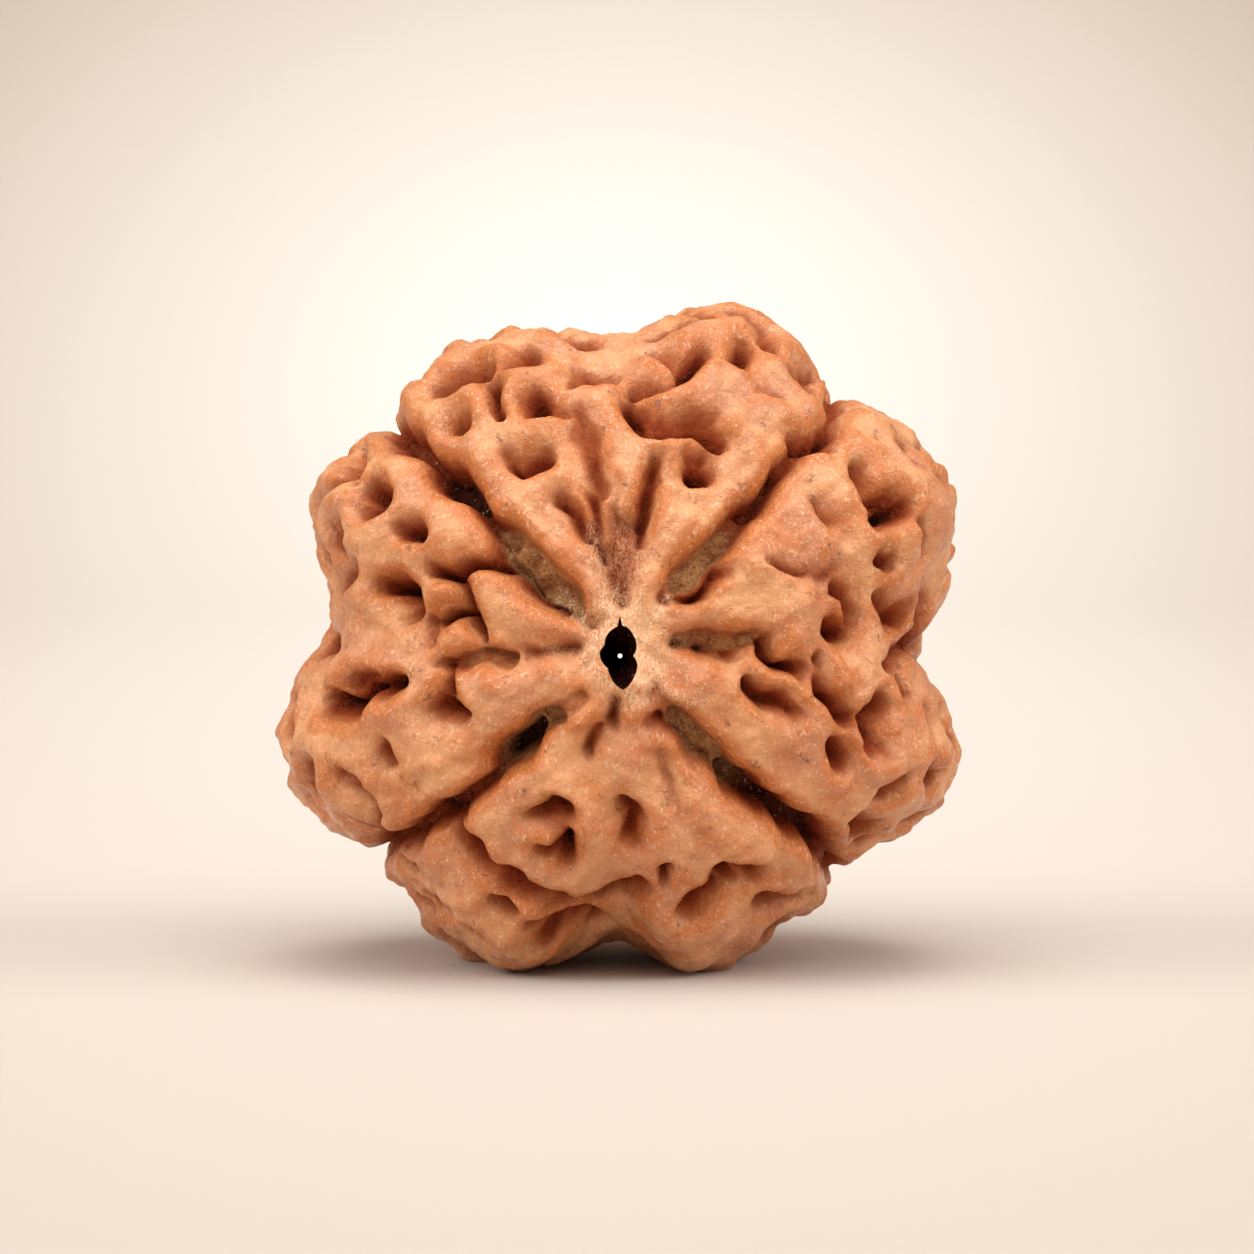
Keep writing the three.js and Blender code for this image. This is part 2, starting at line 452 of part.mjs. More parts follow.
const wasm = await Module();
wasm.setup();

// A geometry as a solid that can be cut
function solid(geometry) {
  const bare = geometry.clone();
  bare.deleteAttribute("normal");
  bare.deleteAttribute("uv");
  const merged = mergeVertices(bare, 1e-4);
  return new wasm.Manifold(new wasm.Mesh({
    numProp: 3,
    vertProperties: merged.getAttribute("position").array,
    triVerts: new Uint32Array(merged.index.array),
  }));
}

// A cut solid as a geometry again
function geometryOf(made) {
  const { vertProperties, triVerts } = made.getMesh();
  const geometry = new THREE.BufferGeometry();
  geometry.setAttribute("position", new THREE.BufferAttribute(vertProperties, 3));
  geometry.setIndex(new THREE.BufferAttribute(triVerts, 1));
  geometry.computeVertexNormals();
  return geometry;
}

const stone = solid(stoneGeometry().rotateX(-LEAN));
const bore = solid(boreGeometry().rotateX(-LEAN));
const geometry = geometryOf(stone.subtract(bore).intersect(solid(aboveRest())));

const shell = new THREE.MeshStandardMaterial({ color: 0xc67c51, roughness: 0.55, metalness: 0 });
const bead = new THREE.Mesh(geometry, shell);
bead.name = "bead";
bead.position.z = REST_HEIGHT;

const part = new THREE.Group();
part.add(bead);
export default part;
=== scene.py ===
# %% [markdown]
# # A four mukhi rudraksha bead
# The bead is the woody stone of one fruit. It lies on its side on two of its eight lobes, and
# its thread bore looks straight at the camera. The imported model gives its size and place, so
# everything here is made around that model, in metres.

# %% Load the frame
import math

import bmesh
import bpy
import numpy as np
from mathutils import Matrix, Vector


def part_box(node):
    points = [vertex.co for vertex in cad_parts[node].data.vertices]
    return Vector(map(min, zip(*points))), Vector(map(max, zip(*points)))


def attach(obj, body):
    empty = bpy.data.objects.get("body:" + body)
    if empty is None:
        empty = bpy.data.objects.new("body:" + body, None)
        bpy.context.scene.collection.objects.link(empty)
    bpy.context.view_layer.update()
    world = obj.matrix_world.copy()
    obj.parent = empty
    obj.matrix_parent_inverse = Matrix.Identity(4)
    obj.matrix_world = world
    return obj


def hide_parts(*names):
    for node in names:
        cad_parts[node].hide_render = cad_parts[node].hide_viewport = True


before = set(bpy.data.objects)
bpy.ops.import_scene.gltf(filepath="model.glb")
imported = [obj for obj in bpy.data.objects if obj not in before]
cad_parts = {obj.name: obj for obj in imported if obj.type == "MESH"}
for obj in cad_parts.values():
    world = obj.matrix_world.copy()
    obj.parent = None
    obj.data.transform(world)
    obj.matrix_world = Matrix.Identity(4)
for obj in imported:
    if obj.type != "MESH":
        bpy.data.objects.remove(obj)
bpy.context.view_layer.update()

low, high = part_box("bead")
print("the solid bead measures", [round(1000 * side, 2) for side in high - low], "mm")

# %% [markdown]
# ## The smooth shell
# Under its ridges the stone is a squat ball with eight lobes. Seen along the bore its edge goes
# in and out, so its reach is given at each lobe and each notch, and a half cosine eases from one
# to the next. Seen from the side it is an ellipse with square shoulders. A sculpt could give the
# same form, but a formula gives the same one each run, and the solid has the same numbers.

# %% The smooth shell
MM = 0.001
HALF_DEPTH = 9.3  # millimetres, as every length on the stone is until its mesh is placed
SHOULDER = 2.4
LEAN = math.radians(4.5)
REST_HEIGHT = 10.15
OUTLINE = [
    [3, 10.25], [26, 12.35], [50, 11.75], [72, 12.32], [91, 10.7], [113, 11.8],
    [135, 11.2], [151, 11.5], [172, 9.8], [197, 11.74], [224, 10.5], [247, 11.3],
    [269, 9.3], [284, 10.95], [315, 10.3], [340, 11.87],
]


def reach(bearings):
    """How far the shell goes out from the bore's line, by bearing in the face."""
    first, last = OUTLINE[0], OUTLINE[-1]
    stops = np.array([[last[0] - 360, last[1]], *OUTLINE, [first[0] + 360, first[1]]])
    degrees = np.degrees(bearings) % 360
    after = np.searchsorted(stops[:, 0], degrees, side="right").clip(1, len(stops) - 1)
    start, end = stops[after - 1], stops[after]
    share = (degrees - start[:, 0]) / (end[:, 0] - start[:, 0])
    return start[:, 1] + (end[:, 1] - start[:, 1]) * (1 - np.cos(np.pi * share)) / 2


def unit(vectors):
    return vectors / np.linalg.norm(vectors, axis=-1, keepdims=True)


def shell_points(directions):
    """Where lines from the stone's middle leave the shell."""
    off = np.hypot(directions[:, 0], directions[:, 2])
    around = (off / reach(np.arctan2(directions[:, 2], directions[:, 0]))) ** SHOULDER
    along = (np.abs(directions[:, 1]) / HALF_DEPTH) ** SHOULDER
    return directions * ((around + along) ** (-1 / SHOULDER))[:, None]


print("the shell reaches", reach(np.radians([0, 90, 180, 270])).round(2), "mm to its four sides")

# %% [markdown]
# ## Clefts, pits and knobs
# The clefts are the seams where the fruit's four chambers meet, and a bead is named by their
# number. Sculpting by hand would do for one stone, and a list of strokes can be corrected one
# line at a time. A stroke is like one pass of a carver's gouge: how deep it goes, then the
# stations it runs through, each with its place on the face and its half width. The four clefts
# come first, each as several strokes, because their floors rise and fall.

# %% The clefts
CLEFTS = [
    [0.8, [1.95, 0.55, 0.25], [2.6, 0.5, 0.42], [3.4, 0.5, 0.42], [4.3, 0.6, 0.3]],
    [0.75, [-5.7, -0.2, 0.2], [-5.0, -0.15, 0.3], [-4.4, 0.0, 0.35], [-3.85, -0.12, 0.25]],
    [0.5, [-0.85, 1.2, 0.2], [-1.4, 1.7, 0.35]],
    [1.15, [-1.5, 1.75, 0.35], [-2.5, 2.6, 0.6], [-3.2, 3.25, 0.6], [-3.9, 4.05, 0.4]],
    [1.3, [-3.9, 4.05, 0.35], [-4.4, 4.7, 0.24], [-4.9, 5.2, 0.25]],
    [1.8, [-4.95, 5.35, 0.3], [-5.6, 5.9, 0.36], [-6.2, 6.35, 0.3]],
    [1.3, [-6.2, 6.35, 0.2], [-6.6, 6.85, 0.2], [-7.0, 7.2, 0.3], [-7.6, 7.6, 0.3], [-8.2, 8.1, 0.25]],
    [0.6, [1.5, 1.95, 0.3], [1.9, 2.3, 0.35]],
    [1.15, [2.0, 2.5, 0.35], [2.9, 3.3, 0.42], [3.7, 4.2, 0.36], [4.5, 5.1, 0.3]],
    [1.4, [4.5, 5.1, 0.3], [5.0, 5.65, 0.2], [5.5, 6.3, 0.18]],
    [0.9, [5.5, 6.3, 0.16], [6.1, 6.9, 0.2], [7.1, 7.7, 0.22], [7.4, 8.5, 0.22], [7.6, 9.0, 0.22]],
    [0.5, [1.1, -1.4, 0.3], [1.6, -1.9, 0.4]],
    [1.1, [1.75, -2.05, 0.4], [2.3, -2.6, 0.46], [2.9, -3.15, 0.5], [3.7, -4.0, 0.45]],
    [1.8, [3.7, -4.1, 0.4], [4.4, -4.55, 0.5], [5.2, -5.15, 0.35]],
    [1.7, [5.2, -5.15, 0.3], [5.9, -5.65, 0.35], [6.4, -5.8, 0.38], [6.7, -6.4, 0.28], [7.3, -7.0, 0.25]],
    [0.45, [-1.3, -1.4, 0.25], [-2.0, -1.8, 0.36]],
    [1.1, [-2.1, -1.95, 0.3], [-2.7, -2.35, 0.38]],
    [2.3, [-2.85, -2.5, 0.28], [-3.35, -2.95, 0.4], [-3.85, -3.5, 0.28]],
    [1.2, [-3.9, -3.7, 0.14], [-4.3, -4.2, 0.18], [-4.8, -4.55, 0.16], [-5.2, -4.85, 0.16]],
    [1.5, [-5.3, -5.0, 0.26], [-6.2, -5.45, 0.3]],
    [1.2, [-6.4, -5.6, 0.2], [-7.0, -6.1, 0.24], [-7.6, -6.3, 0.24], [-8.2, -6.5, 0.22]],
]
print(len(CLEFTS), "strokes for the face's part of the four clefts")

# %% [markdown]
# ## Pits of the top segment
# Between two clefts lies a segment, and the ground in it is eaten into by pits, so that only a net
# of ridges stays up. The ridges could be drawn instead, but the pits are easier to see in a photo
# and the ridges are what is left. The first rows here are the wide hollow over the mouth, with the
# grooves that run down into it, and the rest are single pits.

# %% Pits of the top segment
TOP_PITS = [
    [0.75, [0.0, 1.9, 0.4], [0.0, 2.6, 0.9], [0.05, 3.4, 1.15], [0.1, 4.2, 1.0], [0.1, 4.9, 0.6]],
    [0.95, [-0.6, 3.3, 0.15], [-0.75, 3.8, 0.25], [-0.7, 4.6, 0.3], [-0.85, 5.3, 0.2]],
    [1.0, [0.6, 3.7, 0.15], [0.7, 4.3, 0.25], [0.85, 4.9, 0.25], [1.0, 6.1, 0.1]],
    [0.9, [-2.0, 5.2, 0.2], [-1.5, 4.7, 0.3], [-1.0, 4.0, 0.28]],
    [1.1, [1.15, 6.5, 0.2], [1.1, 5.8, 0.25], [0.9, 5.2, 0.28], [0.65, 4.6, 0.35]],
    [0.7, [-1.5, 8.2, 0.4], [-1.1, 7.5, 0.5], [-0.95, 6.9, 0.5], [-0.85, 6.2, 0.3], [-0.65, 5.4, 0.25]],
    [2.3, [-2.75, 8.3, 0.33], [-2.55, 7.9, 0.33]],
    [0.7, [-2.5, 8.65, 0.35], [-2.0, 8.2, 0.35]],
    [1.2, [-3.7, 6.4, 0.15], [-3.2, 6.3, 0.15]],
    [1.6, [-2.95, 6.35, 0.2], [-2.6, 6.45, 0.25]],
    [0.6, [-3.9, 6.75, 0.35], [-3.1, 6.7, 0.4]],
    [1.45, [-5.5, 7.65, 0.2], [-5.25, 7.72, 0.25]],
    [1.55, [-4.3, 9.1, 0.15], [-4.15, 8.5, 0.18], [-4.05, 7.95, 0.22]],
    [2.3, [-5.8, 8.7, 0.25], [-5.2, 8.85, 0.35], [-4.9, 9.2, 0.28], [-4.3, 9.35, 0.2]],
    [0.9, [-6.0, 9.0, 0.4], [-5.3, 9.6, 0.35]],
    [1.7, [-1.45, 8.9, 0.2], [-1.0, 9.0, 0.2], [-0.55, 8.95, 0.15]],
    [0.6, [-1.5, 9.4, 0.4], [-0.2, 9.4, 0.4]],
    [1.8, [0.2, 8.25, 0.2], [0.6, 7.8, 0.26], [1.0, 7.42, 0.24]],
    [1.55, [1.0, 7.42, 0.24], [1.8, 7.5, 0.24], [2.5, 7.6, 0.25], [3.0, 7.4, 0.26], [3.2, 7.15, 0.15]],
    [0.85, [1.3, 7.9, 0.3], [2.3, 8.1, 0.36], [3.1, 8.0, 0.3]],
    [1.45, [0.5, 8.8, 0.25], [1.2, 8.78, 0.2], [1.9, 9.05, 0.15]],
    [1.8, [2.1, 9.3, 0.2], [2.3, 9.7, 0.33], [2.7, 10.1, 0.3]],
    [1.7, [4.1, 10.2, 0.18], [3.95, 9.6, 0.2]],
    [0.5, [4.6, 8.95, 0.35], [5.3, 8.7, 0.3]],
    [0.7, [1.1, 10.1, 0.4], [1.9, 9.9, 0.3]],
    [1.9, [2.3, 5.98, 0.36], [2.8, 5.92, 0.28]],
    [0.95, [2.4, 6.6, 0.45], [2.85, 6.75, 0.35]],
    [1.7, [5.9, 7.15, 0.25], [6.25, 6.9, 0.25], [6.7, 7.0, 0.25], [7.05, 7.4, 0.2]],
]
print(len(TOP_PITS), "strokes in the top segment")

# %% [markdown]
# ## Pits of the left segment
# The left segment is the most broken one: long pits run across it and leave single knobs and a
# pointed petal standing. Each long pit is one stroke with several stations, which keeps its two
# walls parallel, as a row of round pits wouldn't.

# %% Pits of the left segment
LEFT_PITS = [
    [1.5, [-3.9, 3.6, 0.2], [-3.2, 2.6, 0.1], [-2.4, 1.75, 0.1], [-1.9, 1.42, 0.06]],
    [1.7, [-8.2, 5.6, 0.25], [-7.75, 5.3, 0.3]],
    [2.05, [-7.75, 5.0, 0.3], [-8.2, 4.85, 0.36]],
    [1.7, [-7.05, 4.2, 0.2], [-6.8, 4.1, 0.24], [-6.45, 3.95, 0.22]],
    [2.15, [-7.75, 2.3, 0.22], [-7.2, 2.25, 0.3], [-6.95, 2.0, 0.25]],
    [1.1, [-6.95, 1.9, 0.25], [-6.9, 1.4, 0.2]],
    [0.6, [-8.9, 5.9, 0.35], [-8.55, 6.5, 0.25]],
    [0.95, [-8.85, 2.9, 0.35], [-9.1, 2.0, 0.45]],
    [1.55, [-6.2, 2.85, 0.12], [-5.4, 2.75, 0.28], [-4.6, 2.95, 0.33], [-3.8, 3.1, 0.35]],
    [1.1, [-5.45, 2.6, 0.25], [-5.1, 1.9, 0.25], [-4.85, 1.2, 0.18], [-4.75, 0.5, 0.18]],
    [1.2, [-5.9, 1.3, 0.2], [-5.2, 1.55, 0.25]],
    [0.7, [-6.4, 1.4, 0.25], [-6.3, 0.4, 0.22]],
    [0.6, [-3.3, 0.05, 0.25], [-2.4, 0.15, 0.22], [-1.5, 0.3, 0.16]],
    [1.45, [-5.65, -0.5, 0.14], [-5.65, -1.2, 0.15]],
    [2.15, [-9.7, -1.45, 0.22], [-9.1, -1.75, 0.33], [-8.6, -1.5, 0.36]],
    [1.8, [-8.6, -1.35, 0.36], [-8.0, -1.02, 0.3], [-7.2, -0.98, 0.16]],
    [0.85, [-9.0, -0.95, 0.4], [-8.3, -0.6, 0.32]],
    [1.2, [-6.3, -1.4, 0.26], [-5.8, -1.7, 0.36], [-5.25, -1.95, 0.22]],
    [1.3, [-8.05, -3.1, 0.18], [-7.65, -3.5, 0.17]],
    [1.2, [-9.1, -3.85, 0.2], [-8.75, -4.2, 0.2]],
    [0.95, [-8.9, -5.35, 0.26], [-8.3, -5.7, 0.26]],
    [0.7, [-8.6, -4.4, 0.14], [-8.1, -5.0, 0.15], [-8.0, -5.9, 0.18]],
    [0.4, [-9.2, 0.1, 0.3]],
]
print(len(LEFT_PITS), "strokes in the left segment")

# %% [markdown]
# ## Pits of the bottom segment
# The bottom segment is a broad plateau with a torn lower edge that hangs over a groove, and the
# groove is the longest stroke of all. Under it are the two lobes that the stone rests on, so they
# have few pits and those are shallow.

# %% Pits of the bottom segment
BOTTOM_PITS = [
    [1.2, [1.15, -1.95, 0.05], [2.1, -2.85, 0.08], [3.1, -3.75, 0.12]],
    [0.8, [-0.1, -1.3, 0.1], [-0.4, -2.2, 0.2]],
    [0.75, [-0.8, -2.5, 0.16], [-1.0, -3.1, 0.2]],
    [1.9, [-2.05, -4.85, 0.27], [-1.8, -5.0, 0.3]],
    [1.1, [-2.75, -5.2, 0.25], [-2.15, -5.25, 0.3]],
    [2.2, [-1.75, -5.9, 0.2], [-1.72, -6.5, 0.24]],
    [1.0, [-1.75, -5.9, 0.4], [-1.8, -6.5, 0.4]],
    [1.2, [-2.6, -6.5, 0.24], [-2.0, -6.5, 0.28]],
    [1.0, [0.15, -4.95, 0.3], [0.5, -5.3, 0.5], [0.3, -5.8, 0.4]],
    [0.35, [1.8, -4.9, 0.3], [1.4, -3.3, 0.3]],
    [1.45, [-4.75, -6.3, 0.32], [-4.5, -6.8, 0.3]],
    [
        1.45, [-5.4, -5.6, 0.16], [-5.2, -6.1, 0.2], [-4.6, -6.7, 0.25], [-4.0, -7.2, 0.25],
        [-3.3, -7.75, 0.22], [-2.5, -8.1, 0.2], [-1.7, -8.2, 0.22], [-0.8, -8.1, 0.24],
        [0.1, -7.7, 0.26], [0.6, -7.4, 0.24],
    ],
    [1.45, [1.45, -6.95, 0.16], [1.55, -7.4, 0.15]],
    [1.8, [3.5, -7.2, 0.25], [3.7, -7.5, 0.22]],
    [1.1, [3.9, -7.15, 0.24], [4.6, -7.3, 0.22]],
    [2.05, [2.25, -8.3, 0.22], [2.7, -8.0, 0.25], [3.1, -7.85, 0.18]],
    [1.55, [4.6, -8.05, 0.22], [5.1, -8.1, 0.22]],
    [0.85, [5.3, -8.2, 0.24], [5.9, -8.0, 0.2]],
    [1.55, [-3.95, -8.15, 0.22], [-3.6, -8.45, 0.25]],
    [0.95, [-5.0, -9.05, 0.17], [-4.55, -9.2, 0.2]],
    [1.1, [-6.2, -8.15, 0.2], [-5.75, -8.4, 0.2]],
    [0.7, [-7.4, -6.85, 0.18], [-6.7, -7.2, 0.2]],
    [0.7, [0.4, -9.1, 0.25]],
]
print(len(BOTTOM_PITS), "strokes in the bottom segment")

# %% [markdown]
# ## Pits of the right segment
# Two long pits reach from the right segment almost to the mouth, with a narrow petal between
# them. Further out the pits are round, and near the edge they are drawn short, because there the
# surface turns away from the camera and a short stroke on the photo is a long one on the stone.

# %% Pits of the right segment
RIGHT_PITS = [
    [1.3, [1.9, 1.95, 0.08], [2.6, 2.2, 0.15], [3.2, 2.65, 0.2]],
    [1.35, [1.8, 0.45, 0.12], [2.6, 0.2, 0.15], [3.6, 0.15, 0.2]],
    [1.55, [4.6, 0.3, 0.3], [5.1, -0.1, 0.32], [5.7, -0.4, 0.2]],
    [1.2, [4.25, -1.05, 0.24], [5.0, -1.5, 0.33], [5.65, -1.9, 0.22]],
    [0.6, [5.0, 3.1, 0.16], [5.8, 2.9, 0.18], [6.6, 2.7, 0.2], [7.4, 2.9, 0.18]],
    [1.8, [6.95, 0.85, 0.22], [7.3, 0.8, 0.25]],
    [0.9, [7.2, 2.4, 0.3], [7.8, 2.0, 0.42], [7.9, 1.2, 0.3]],
    [1.6, [6.3, -0.15, 0.15], [6.5, -0.9, 0.18], [7.0, -1.6, 0.2], [7.5, -2.0, 0.2]],
    [2.3, [7.95, -2.2, 0.27], [8.2, -2.75, 0.3]],
    [1.55, [8.7, -1.65, 0.3], [8.45, -2.2, 0.36]],
    [1.45, [7.05, -2.95, 0.22], [7.3, -3.5, 0.3]],
    [1.3, [8.75, -4.5, 0.2], [9.3, -4.1, 0.25]],
    [0.85, [8.9, -3.1, 0.16]],
    [1.45, [9.3, -0.9, 0.2], [9.5, -1.35, 0.2]],
    [1.1, [8.9, -0.25, 0.25], [9.4, 0.3, 0.25], [10.0, 0.6, 0.25]],
    [0.85, [8.8, -6.2, 0.3]],
    [0.7, [10.35, -1.9, 0.16], [10.5, -2.6, 0.18]],
    [2.05, [8.3, 4.5, 0.3], [8.9, 4.6, 0.28], [9.3, 4.85, 0.25]],
    [1.3, [8.0, 5.2, 0.32], [8.6, 5.2, 0.34], [9.1, 5.1, 0.25]],
    [0.95, [7.85, 6.2, 0.2], [8.1, 5.7, 0.25]],
    [1.7, [8.7, 3.2, 0.2], [8.95, 3.12, 0.23]],
    [0.7, [6.6, 5.0, 0.16], [6.8, 4.6, 0.2], [7.1, 4.5, 0.16]],
    [0.85, [10.0, 4.3, 0.22], [10.3, 3.6, 0.22]],
    [0.7, [10.4, 2.0, 0.18], [10.7, 2.6, 0.18]],
]
print(len(RIGHT_PITS), "strokes in the right segment")

# %% [markdown]
# ## Knobs, tongues and petals
# Here and there a piece of the ridges stands by itself: round knobs in the pits, tongues of
# ground that reach over a cleft, and the petals round the mouth. Cutting round them would take many
# strokes, so they are drawn the other way about: a knob's first number is the height its top
# is lifted to, whatever was cut there before.

# %% Knobs, tongues and petals
KNOBS = [
    [0.4, [-6.5, 1.95, 0.32], [-6.05, 2.15, 0.5]],
    [0.3, [-5.6, 0.75, 0.36], [-5.3, 0.45, 0.36]],
    [0.05, [-1.3, 0.72, 0.2], [-2.3, 1.05, 0.42], [-3.4, 1.5, 0.75], [-4.2, 1.85, 0.7]],
    [0.15, [-5.6, 3.5, 0.42], [-4.9, 3.55, 0.42]],
    [-0.1, [0.6, 6.9, 0.3], [0.35, 6.1, 0.36], [0.2, 5.2, 0.32]],
    [0.1, [1.4, 9.6, 0.3], [1.8, 9.3, 0.2]],
    [0.1, [1.6, 3.6, 0.5], [1.6, 4.6, 0.5], [1.6, 5.6, 0.25]],
    [0.35, [6.5, 1.95, 0.42], [6.5, 1.7, 0.42]],
    [0.4, [6.2, 0.85, 0.45], [5.75, 0.3, 0.48]],
    [0.6, [7.35, -0.35, 0.6], [7.65, -0.85, 0.6]],
    [0.0, [1.7, 1.35, 0.16], [2.9, 1.6, 0.2], [3.9, 1.95, 0.35], [5.2, 2.2, 0.5]],
    [0.05, [1.9, -7.6, 0.3], [1.95, -7.95, 0.22]],
    [0.1, [-6.1, -0.8, 0.3], [-7.0, -1.5, 0.4], [-8.0, -1.9, 0.4]],
    [0.1, [-4.75, 9.0, 0.14], [-4.5, 8.5, 0.16]],
]
print(len(KNOBS), "knobs, tongues and petals")

# %% [markdown]
# ## From the photo onto the shell
# The strokes' places are those in the photo. A camera about 20 cm away sees the nearest parts of
# the stone a little larger, so each place is sent along its own line of sight until it meets the
# shell. A few halvings of the way find that point without a formula for it.

# %% Strokes of the face
READING_DISTANCE = 210
HALVINGS = 20


def face_point(x, z, sunk=0):
    near, far = -HALF_DEPTH, 0
    for _ in range(HALVINGS):
        y = (near + far) / 2
        nearer = 1 + y / READING_DISTANCE
        seen = np.array([[x * nearer, y, z * nearer]])
        on_shell = shell_points(unit(seen))
        if np.linalg.norm(seen) > np.linalg.norm(on_shell) - sunk:
            near = y
        else:
            far = y
    return on_shell[0]


def face_stroke(depth, *places, seen_at=0.25):
    stations = [face_point(x, z, seen_at * depth) for x, z, half in places]
    return depth, np.array(stations), np.array([half for x, z, half in places])


clefts = [face_stroke(*row) for row in CLEFTS]
pits = [face_stroke(*row) for row in TOP_PITS + LEFT_PITS + BOTTOM_PITS + RIGHT_PITS]
knobs = [face_stroke(*row, seen_at=-1) for row in KNOBS]
print("the mouth's middle lies at", face_point(0, 0).round(2), "mm from the stone's middle")

# %% [markdown]
# ## Clefts of the sides
# The camera sees only the face, but the stone is whole, and each cleft goes on round the side to
# the back mouth. Such a line could be drawn by hand too, and here it runs straight back with a
# little sway, narrower in some places than in others.

# %% Clefts of the sides
CLEFT_ENDS = [49, 136, 218, 316]  # bearings, in degrees, at which the clefts leave the face
SIDE_CLEFT = {"depth": 0.8, "half": 0.25, "sway": 0.05, "start": -0.4, "end": 0.93, "stations": 9}


def side_cleft(bearing, index):
    points = []
    halves = []
    for i in range(SIDE_CLEFT["stations"]):
        share = i / (SIDE_CLEFT["stations"] - 1)
        y = SIDE_CLEFT["start"] + (SIDE_CLEFT["end"] - SIDE_CLEFT["start"]) * share
        sway = SIDE_CLEFT["sway"] * math.sin(3 * index + 7 * share) * (1 - share)
        turn = math.radians(bearing) + sway
        off = math.sqrt(1 - y * y)
        points.append([off * math.cos(turn), y, off * math.sin(turn)])
        halves.append(SIDE_CLEFT["half"] * (1 + 0.4 * math.sin(5 * i + index)))
    return SIDE_CLEFT["depth"], shell_points(np.array(points)), np.array(halves)


clefts += [side_cleft(bearing, i) for i, bearing in enumerate(CLEFT_ENDS)]
print(len(clefts), "cleft strokes with those of the sides")

# %% [markdown]
# ## Pits of the sides and the back
# Between the clefts the pits go on all round. They start on an even spiral, which leaves no bare
# spot, and each is shaken out of its place, slanted and bent. A pit that would run into another
# cut of the face or into a cleft is left out. A seeded row of numbers does the shaking, so that
# the stone is the same one each run.

# %% Pits of the sides and the back
SCATTER = {"seed": 11, "count": 340, "spread": 0.06, "depth": [0.8, 1.4], "half": [0.3, 0.58]}
FACE_SHARE = -0.72
BACK_SHARE = 0.97
FOOT_SHARE = -0.9
CLEAR = 0.6


def random_row(seed):
    state = seed

    def draw():
        nonlocal state
        state = (state * 1664525 + 1013904223) % 4294967296
        return state / 4294967296

    return draw


def clear_of(stroke, points):
    _, stations, halves = stroke
    away = np.linalg.norm(points[:, None] - stations[None], axis=2) - halves
    return away.min() > CLEAR


def scattered_pits(taken):
    draw = random_row(SCATTER["seed"])

    def shake():
        return SCATTER["spread"] * (2 * draw() - 1)

    def draw_between(least, most):
        return least + (most - least) * draw()

    pits = []
    for i in range(SCATTER["count"]):
        y = 1 - (2 * i + 1) / SCATTER["count"]
        turn = i * math.pi * (3 - math.sqrt(5))
        off = math.sqrt(1 - y * y)
        place = np.array([off * math.cos(turn), y, off * math.sin(turn)])
        middle = unit(place + [shake() for _ in range(3)])
        slant = np.array([shake() for _ in range(3)]) * [1, 1.6, 1]
        bend = np.array([shake() for _ in range(3)])
        depth = draw_between(*SCATTER["depth"])
        half = draw_between(*SCATTER["half"])
        if middle[1] < FACE_SHARE or middle[1] > BACK_SHARE or middle[2] < FOOT_SHARE:
            continue
        stations = shell_points(unit(np.array([middle - slant, middle + bend, middle + slant])))
        if all(clear_of(stroke, stations) for stroke in taken):
            pits.append((depth, stations, np.full(3, half)))
    return pits


pits += scattered_pits(clefts + pits + knobs)
print(len(pits), "pits all round the stone")

# %% [markdown]
# ## From strokes to height
# At each point of the shell, the nearest place of a stroke says how deep the cut is there: all
# of its depth on the floor, none past the rim, and between them a steep wall that rounds off
# towards the rim, which makes the ground between two cuts look inflated, as ridges on this stone
# do. Pits also lean: the lip on the mouth's side is sharp and the wall across from it is long.
# Where cuts overlap, the deeper one wins, and a high power instead of a plain maximum leaves no
# crease.

# %% Depth of the cuts
PIT_SECTION = {"lean": 0.35, "floor": 0.3, "rim": 0.5, "roundness": 2.5}
CLEFT_SECTION = {"lean": 0, "floor": 0.85, "rim": 0.4, "roundness": 3}
JOIN_POWER = 6
KNOB_FOOT = 1.4


def cut_section(away, half, floor, rim, roundness):
    t = ((away - floor * half) / ((1 - floor) * half + rim)).clip(0, 1)
    return (1 - t) ** roundness


def knob_section(away, half):
    t = (away / (KNOB_FOOT * half)).clip(0, 1)
    return 1 - t * t * (3 - 2 * t)


def stroke_share(stroke, points, section, lean=0, **shape):
    """Which points a stroke reaches, and what share of its depth or height it has at each."""
    _, stations, halves = stroke
    middle = stations.mean(axis=0)
    widths = (halves + shape.get("rim", halves)) / (1 - lean)
    reaches = np.linalg.norm(stations - middle, axis=1) + widths
    near = np.flatnonzero(((points - middle) ** 2).sum(axis=1) < reaches.max() ** 2)
    off_axis = unit(points[near] * [1, 0, 1])
    share = np.zeros(len(near))
    for i in range(max(1, len(stations) - 1)):
        j = min(i + 1, len(stations) - 1)
        run = stations[j] - stations[i]
        t = ((points[near] - stations[i]) @ run / (run @ run or 1)).clip(0, 1)
        offset = points[near] - stations[i] - t[:, None] * run
        away = np.linalg.norm(offset, axis=1) - lean * (offset * off_axis).sum(axis=1)
        half = halves[i] + (halves[j] - halves[i]) * t
        share = np.maximum(share, section(away, half, **shape))
    return near, share


def joined(strokes, points, shape):
    """The depth of many cuts at each point, where the deepest one wins."""
    total = np.zeros(len(points))
    for stroke in strokes:
        near, share = stroke_share(stroke, points, cut_section, **shape)
        total[near] += (stroke[0] * share) ** JOIN_POWER
    return total ** (1 / JOIN_POWER)


middle_depth = joined(pits, face_point(0, 2.6)[None], PIT_SECTION)
print("the hollow over the mouth is", middle_depth.round(2)[0], "mm deep")

